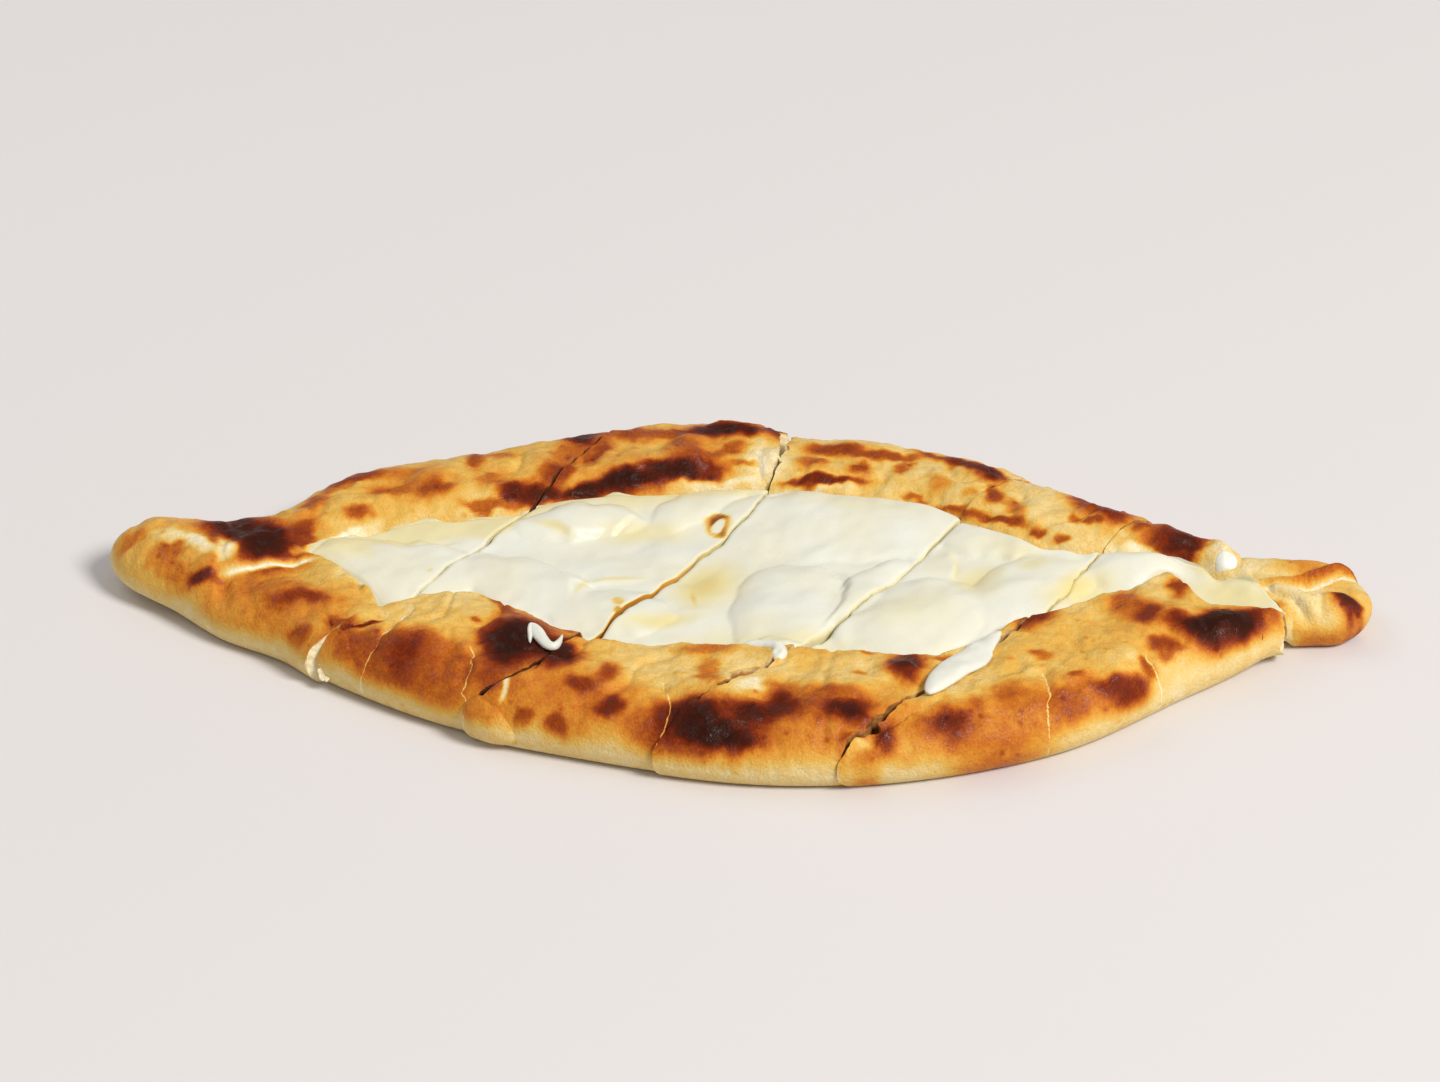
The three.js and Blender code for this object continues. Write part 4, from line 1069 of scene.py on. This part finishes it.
# Dabs of labneh that the knife has carried out of the cuts and left on the rim: soft smears with a
# dragged, uneven top, stuck to the crust below them. The last one spills out of the third slice's filling.
# For each dab: its solid, the slice that carries it, points along its middle, half width and height
DABS = [
    ("labneh_dab_1", 2,
     [(-52.3, -52.4, 20.0), (-51.5, -46.0, 20.2), (-47.5, -53.0, 20.0), (-44.2, -47, 19.2)], 1.7, 1.8),
    ("labneh_dab_2", 5, [(55, -65, 19.4), (60, -55.5, 19.3), (65.5, -45, 17.8), (73, -30, 15.6)], 4.6, 1.8),
    ("labneh_dab_3", 5, [(130.6, 6.5, 15.0), (133.4, 7.4, 15.5), (136.4, 8.4, 16.0)], 2.6, 1.6),
    ("labneh_3", 3, [(3.5, -43.2, 16.2), (12.5, -44.2, 17.2), (14, -52.5, 17.2)], 2.6, 1.8),
]
DAB_ROWS = 25
DAB_TRIM = 0.02  # share of its length cut off at each end
DAB_SINK = 0.5
DAB_THINNEST = 0.1
SMEAR_STATIONS = 60
SMEAR_LEVELS = 2


def smear_path(middle, trim):
    """X, Y and height along a smooth line through points, with the share run, heading and taper there."""
    run = (1 - np.cos(np.pi * np.linspace(trim, 1 - trim, SMEAR_STATIONS))) / 2
    knots = np.linspace(0, 1, len(middle))
    curves = [np.polyfit(knots, line, len(middle) - 1) for line in np.array(middle).T]
    path = [np.polyval(curve, run)[:, None] for curve in curves]
    heading = np.arctan2(np.gradient(path[1][:, 0]), np.gradient(path[0][:, 0]))[:, None]
    return path, run[:, None], heading, np.sqrt(1 - (2 * run - 1) ** 2)[:, None]


for number, (solid, slice_number, middle, half_width, height) in enumerate(DABS):
    path, run, heading, taper = smear_path(middle, DAB_TRIM)
    across = np.linspace(-1, 1, DAB_ROWS)[None, :]
    dragged = 1 + 0.3 * lumps(8 * run + 40 * number, 1.6 * across, 2, 61)
    offset = across * half_width * taper * dragged
    x, y = path[0] - offset * np.sin(heading), path[1] + offset * np.cos(heading)
    under = np.maximum(crust_top(x, y), path[2]) - DAB_SINK
    top = under + height * np.sqrt(taper * (1 - across**2)) * (0.85 + 0.25 * lumps(x, y, 3.6, 62))
    points, faces = closed_body(x, y, top, under - DAB_THINNEST, SMEAR_LEVELS, wiped)[:2]
    dab = mesh_object(f"labneh_dab_piece_{number + 1}", points, faces, SLICE_SHIFTS[slice_number - 1])
    write_attribute(dab, "oil", np.zeros(len(points)))
    dab.data.materials.append(labneh_finish)
    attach(dab, "root")
    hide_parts(solid)

# A lobe of dough at the foot of the second cut: the knife has pushed the rim's edge down and out there, so
# it lies against the side as a rounded, pale-bellied tongue.
LOBE_MIDDLE = [(-68, -65.4, 6.8), (-61, -69.2, 7.2), (-50, -72.6, 5.6)]
LOBE_HALF_WIDTH = 4.6
LOBE_HALF_HEIGHT = 6.2
LOBE_TRIM = 0.01
LOBE_ROWS = 45
LOBE_SLICE = 3
LOBE_BELLY = 0.2  # how far it is baked below
LOBE_BACK = 0.26  # and how much more above
path, run, heading, taper = smear_path(LOBE_MIDDLE, LOBE_TRIM)
across = np.sin(np.linspace(-np.pi / 2, np.pi / 2, LOBE_ROWS))[None, :]
x = path[0] - across * LOBE_HALF_WIDTH * taper * np.sin(heading)
y = path[1] + across * LOBE_HALF_WIDTH * taper * np.cos(heading)
thick = LOBE_HALF_HEIGHT * taper * np.sqrt(1 - across**2)
top = path[2] + thick * (1 + 0.12 * lumps(x, y, 3, 63))
points, faces = closed_body(x, y, top, path[2] - thick, SMEAR_LEVELS, torn)[:2]
lobe = mesh_object("dough_lobe", points, faces, SLICE_SHIFTS[LOBE_SLICE - 1])
lobe_level = points[:, 2] + 2 * lumps(points[:, 0], points[:, 1], 4, 64)
write_attribute(lobe, "bake", LOBE_BELLY + LOBE_BACK * smooth(6, 11.5, lobe_level))
for name in ("crack_side", "crack_off"):
    write_attribute(lobe, name, np.full(len(points), FAR_FROM_CRACKS))
lobe.data.materials.append(crust_finish)
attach(lobe, "root")
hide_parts(f"crust_{LOBE_SLICE}")

# Crumbs that the knife has torn out of the crust and left in the first cut: moist, pale bits of dough,
# heaped on the torn face of the first slice.
CRUMB_BED = [(-109, -47.5, 4), (-105, -48.5, 4), (-103.5, -43.5, 12), (-106.5, -42.5, 13)]
CRUMB_SLICE = 1
CRUMB_SIZES = {
    "Density": 1.2e6,  # per square metre
    "Smallest": 0.3 * MILLIMETRE,  # half width
    "Largest": 1.2 * MILLIMETRE,
    "Wrinkle Scale": 700.0,  # per metre, so each is about 1.4 mm wide
    "Wrinkle Height": 2.6 * MILLIMETRE,
    "Brownness": 0.06,
    "Seed": 7,
    "Finish": crumb_finish,
}
FULL_TURN = (6.28, 6.28, 6.28)
crumb_nodes = bpy.data.node_groups.new("scattered crumbs", "GeometryNodeTree")
sockets = {"Bed": "Geometry", "Seed": "Int", "Finish": "Material"}
for name in ("Bed", *CRUMB_SIZES):
    kind = sockets.get(name, "Float")
    crumb_nodes.interface.new_socket(name, in_out="INPUT", socket_type=f"NodeSocket{kind}")
crumb_nodes.interface.new_socket("Crumbs", in_out="OUTPUT", socket_type="NodeSocketGeometry")
given = add_node(crumb_nodes, "NodeGroupInput").outputs
spots = add_node(crumb_nodes, "GeometryNodeDistributePointsOnFaces", {
    "Mesh": given["Bed"], "Density": given["Density"], "Seed": given["Seed"]}).outputs["Points"]
crumb = add_node(crumb_nodes, "GeometryNodeMeshIcoSphere", {
    "Radius": 1.0, "Subdivisions": 2}).outputs["Mesh"]
size = add_node(crumb_nodes, "FunctionNodeRandomValue", {
    0: given["Smallest"], 1: given["Largest"], 8: given["Seed"]}, data_type="FLOAT_VECTOR").outputs[0]
turn = add_node(crumb_nodes, "FunctionNodeRandomValue", {
    1: FULL_TURN}, data_type="FLOAT_VECTOR").outputs[0]
heap = add_node(crumb_nodes, "GeometryNodeInstanceOnPoints", {
    "Points": spots, "Instance": crumb, "Rotation": turn, "Scale": size}).outputs["Instances"]
heap = add_node(crumb_nodes, "GeometryNodeRealizeInstances", {"Geometry": heap}).outputs["Geometry"]
wrinkle = add_node(crumb_nodes, "ShaderNodeTexNoise", {
    "Scale": given["Wrinkle Scale"], "Detail": 3.0}).outputs["Color"]
wrinkle = add_node(crumb_nodes, "ShaderNodeVectorMath", {
    0: wrinkle, 1: (0.5, 0.5, 0.5)}, operation="SUBTRACT").outputs[0]
wrinkle = add_node(crumb_nodes, "ShaderNodeVectorMath", {
    0: wrinkle, "Scale": given["Wrinkle Height"]}, operation="SCALE").outputs[0]
heap = add_node(crumb_nodes, "GeometryNodeSetPosition", {
    "Geometry": heap, "Offset": wrinkle}).outputs["Geometry"]
heap = add_node(crumb_nodes, "GeometryNodeStoreNamedAttribute", {
    "Geometry": heap, "Name": "bake", "Value": given["Brownness"]},
    data_type="FLOAT", domain="POINT").outputs["Geometry"]
heap = add_node(crumb_nodes, "GeometryNodeSetMaterial", {
    "Geometry": heap, "Material": given["Finish"]}).outputs["Geometry"]
add_node(crumb_nodes, "NodeGroupOutput", {"Crumbs": heap})
crumb_bed = np.array(CRUMB_BED, float)
crumbs = mesh_object("torn_crumbs_1", crumb_bed, [(0, 1, 2, 3)], SLICE_SHIFTS[CRUMB_SLICE - 1])
scatter = crumbs.modifiers.new("scattered crumbs", "NODES")
scatter.node_group = crumb_nodes
for item in crumb_nodes.interface.items_tree:
    if item.name in CRUMB_SIZES:
        scatter[item.identifier] = CRUMB_SIZES[item.name]
scattered = crumbs.evaluated_get(bpy.context.evaluated_depsgraph_get())
crumbs.data = bpy.data.meshes.new_from_object(scattered)
crumbs.modifiers.clear()
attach(crumbs, "root")
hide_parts(f"crust_{CRUMB_SLICE}")

# The studio: a plain pale table top, a large soft light from the front right and above, and light from
# all round. The camera stands in front of the pie and looks down on it, with a long lens.
TABLE_HALF = 3.0
TABLE_CORNERS = [(-1, -1), (1, -1), (1, 1), (-1, 1)]
table_mesh = bpy.data.meshes.new("table_top")
table_mesh.from_pydata([(TABLE_HALF * x, TABLE_HALF * y, 0) for x, y in TABLE_CORNERS], [], [(0, 1, 2, 3)])
table_top = bpy.data.objects.new("table_top", table_mesh)
bpy.context.scene.collection.objects.link(table_top)
table_finish = new_finish("pale matt laminate")
shader = add_node(table_finish.node_tree, "ShaderNodeBsdfPrincipled", {
    "Base Color": linear("#DCD9DA"), "Roughness": 0.8})
add_node(table_finish.node_tree, "ShaderNodeOutputMaterial", {"Surface": shader.outputs["BSDF"]})
table_mesh.materials.append(table_finish)

world = bpy.data.worlds.new("studio")
world.use_nodes = True
surroundings = world.node_tree.nodes["Background"].inputs
surroundings["Color"].default_value = linear("#F6F4F2")
surroundings["Strength"].default_value = 0.45
bpy.context.scene.world = world


def aim(thing, location, target):
    """Puts a lamp or camera in the scene, and turns it to a target."""
    thing.location = location
    thing.rotation_euler = (Vector(target) - Vector(location)).to_track_quat("-Z", "Y").to_euler()
    bpy.context.scene.collection.objects.link(thing)


# Lights: name, place, width in metres, power in watts and colour
LIGHTS = [("key", (2.2, -1.5, 2.7), 1.3, 132, "#FFFBF5"), ("fill", (-1.2, 0.6, 1.4), 1.2, 5, "#FAF8F6")]
for name, location, width, power, colour in LIGHTS:
    light = bpy.data.lights.new(name, "AREA")
    light.shape, light.size, light.energy = "DISK", width, power
    light.color = linear(colour)[:3]
    aim(bpy.data.objects.new(name, light), location, (0, 0, 0))

CAMERA_AT = (0.0752, -1.1864, 0.7684)
CAMERA_AIM = (-0.00675, 0.0405, 0.0)
lens = bpy.data.cameras.new("long_lens")
lens.lens, lens.sensor_width, lens.sensor_fit = 130, 36, "HORIZONTAL"
lens.clip_start, lens.clip_end = 0.05, 20
camera = bpy.data.objects.new("camera", lens)
aim(camera, CAMERA_AT, CAMERA_AIM)
bpy.context.scene.camera = camera
bpy.context.scene.view_settings.view_transform = "Standard"
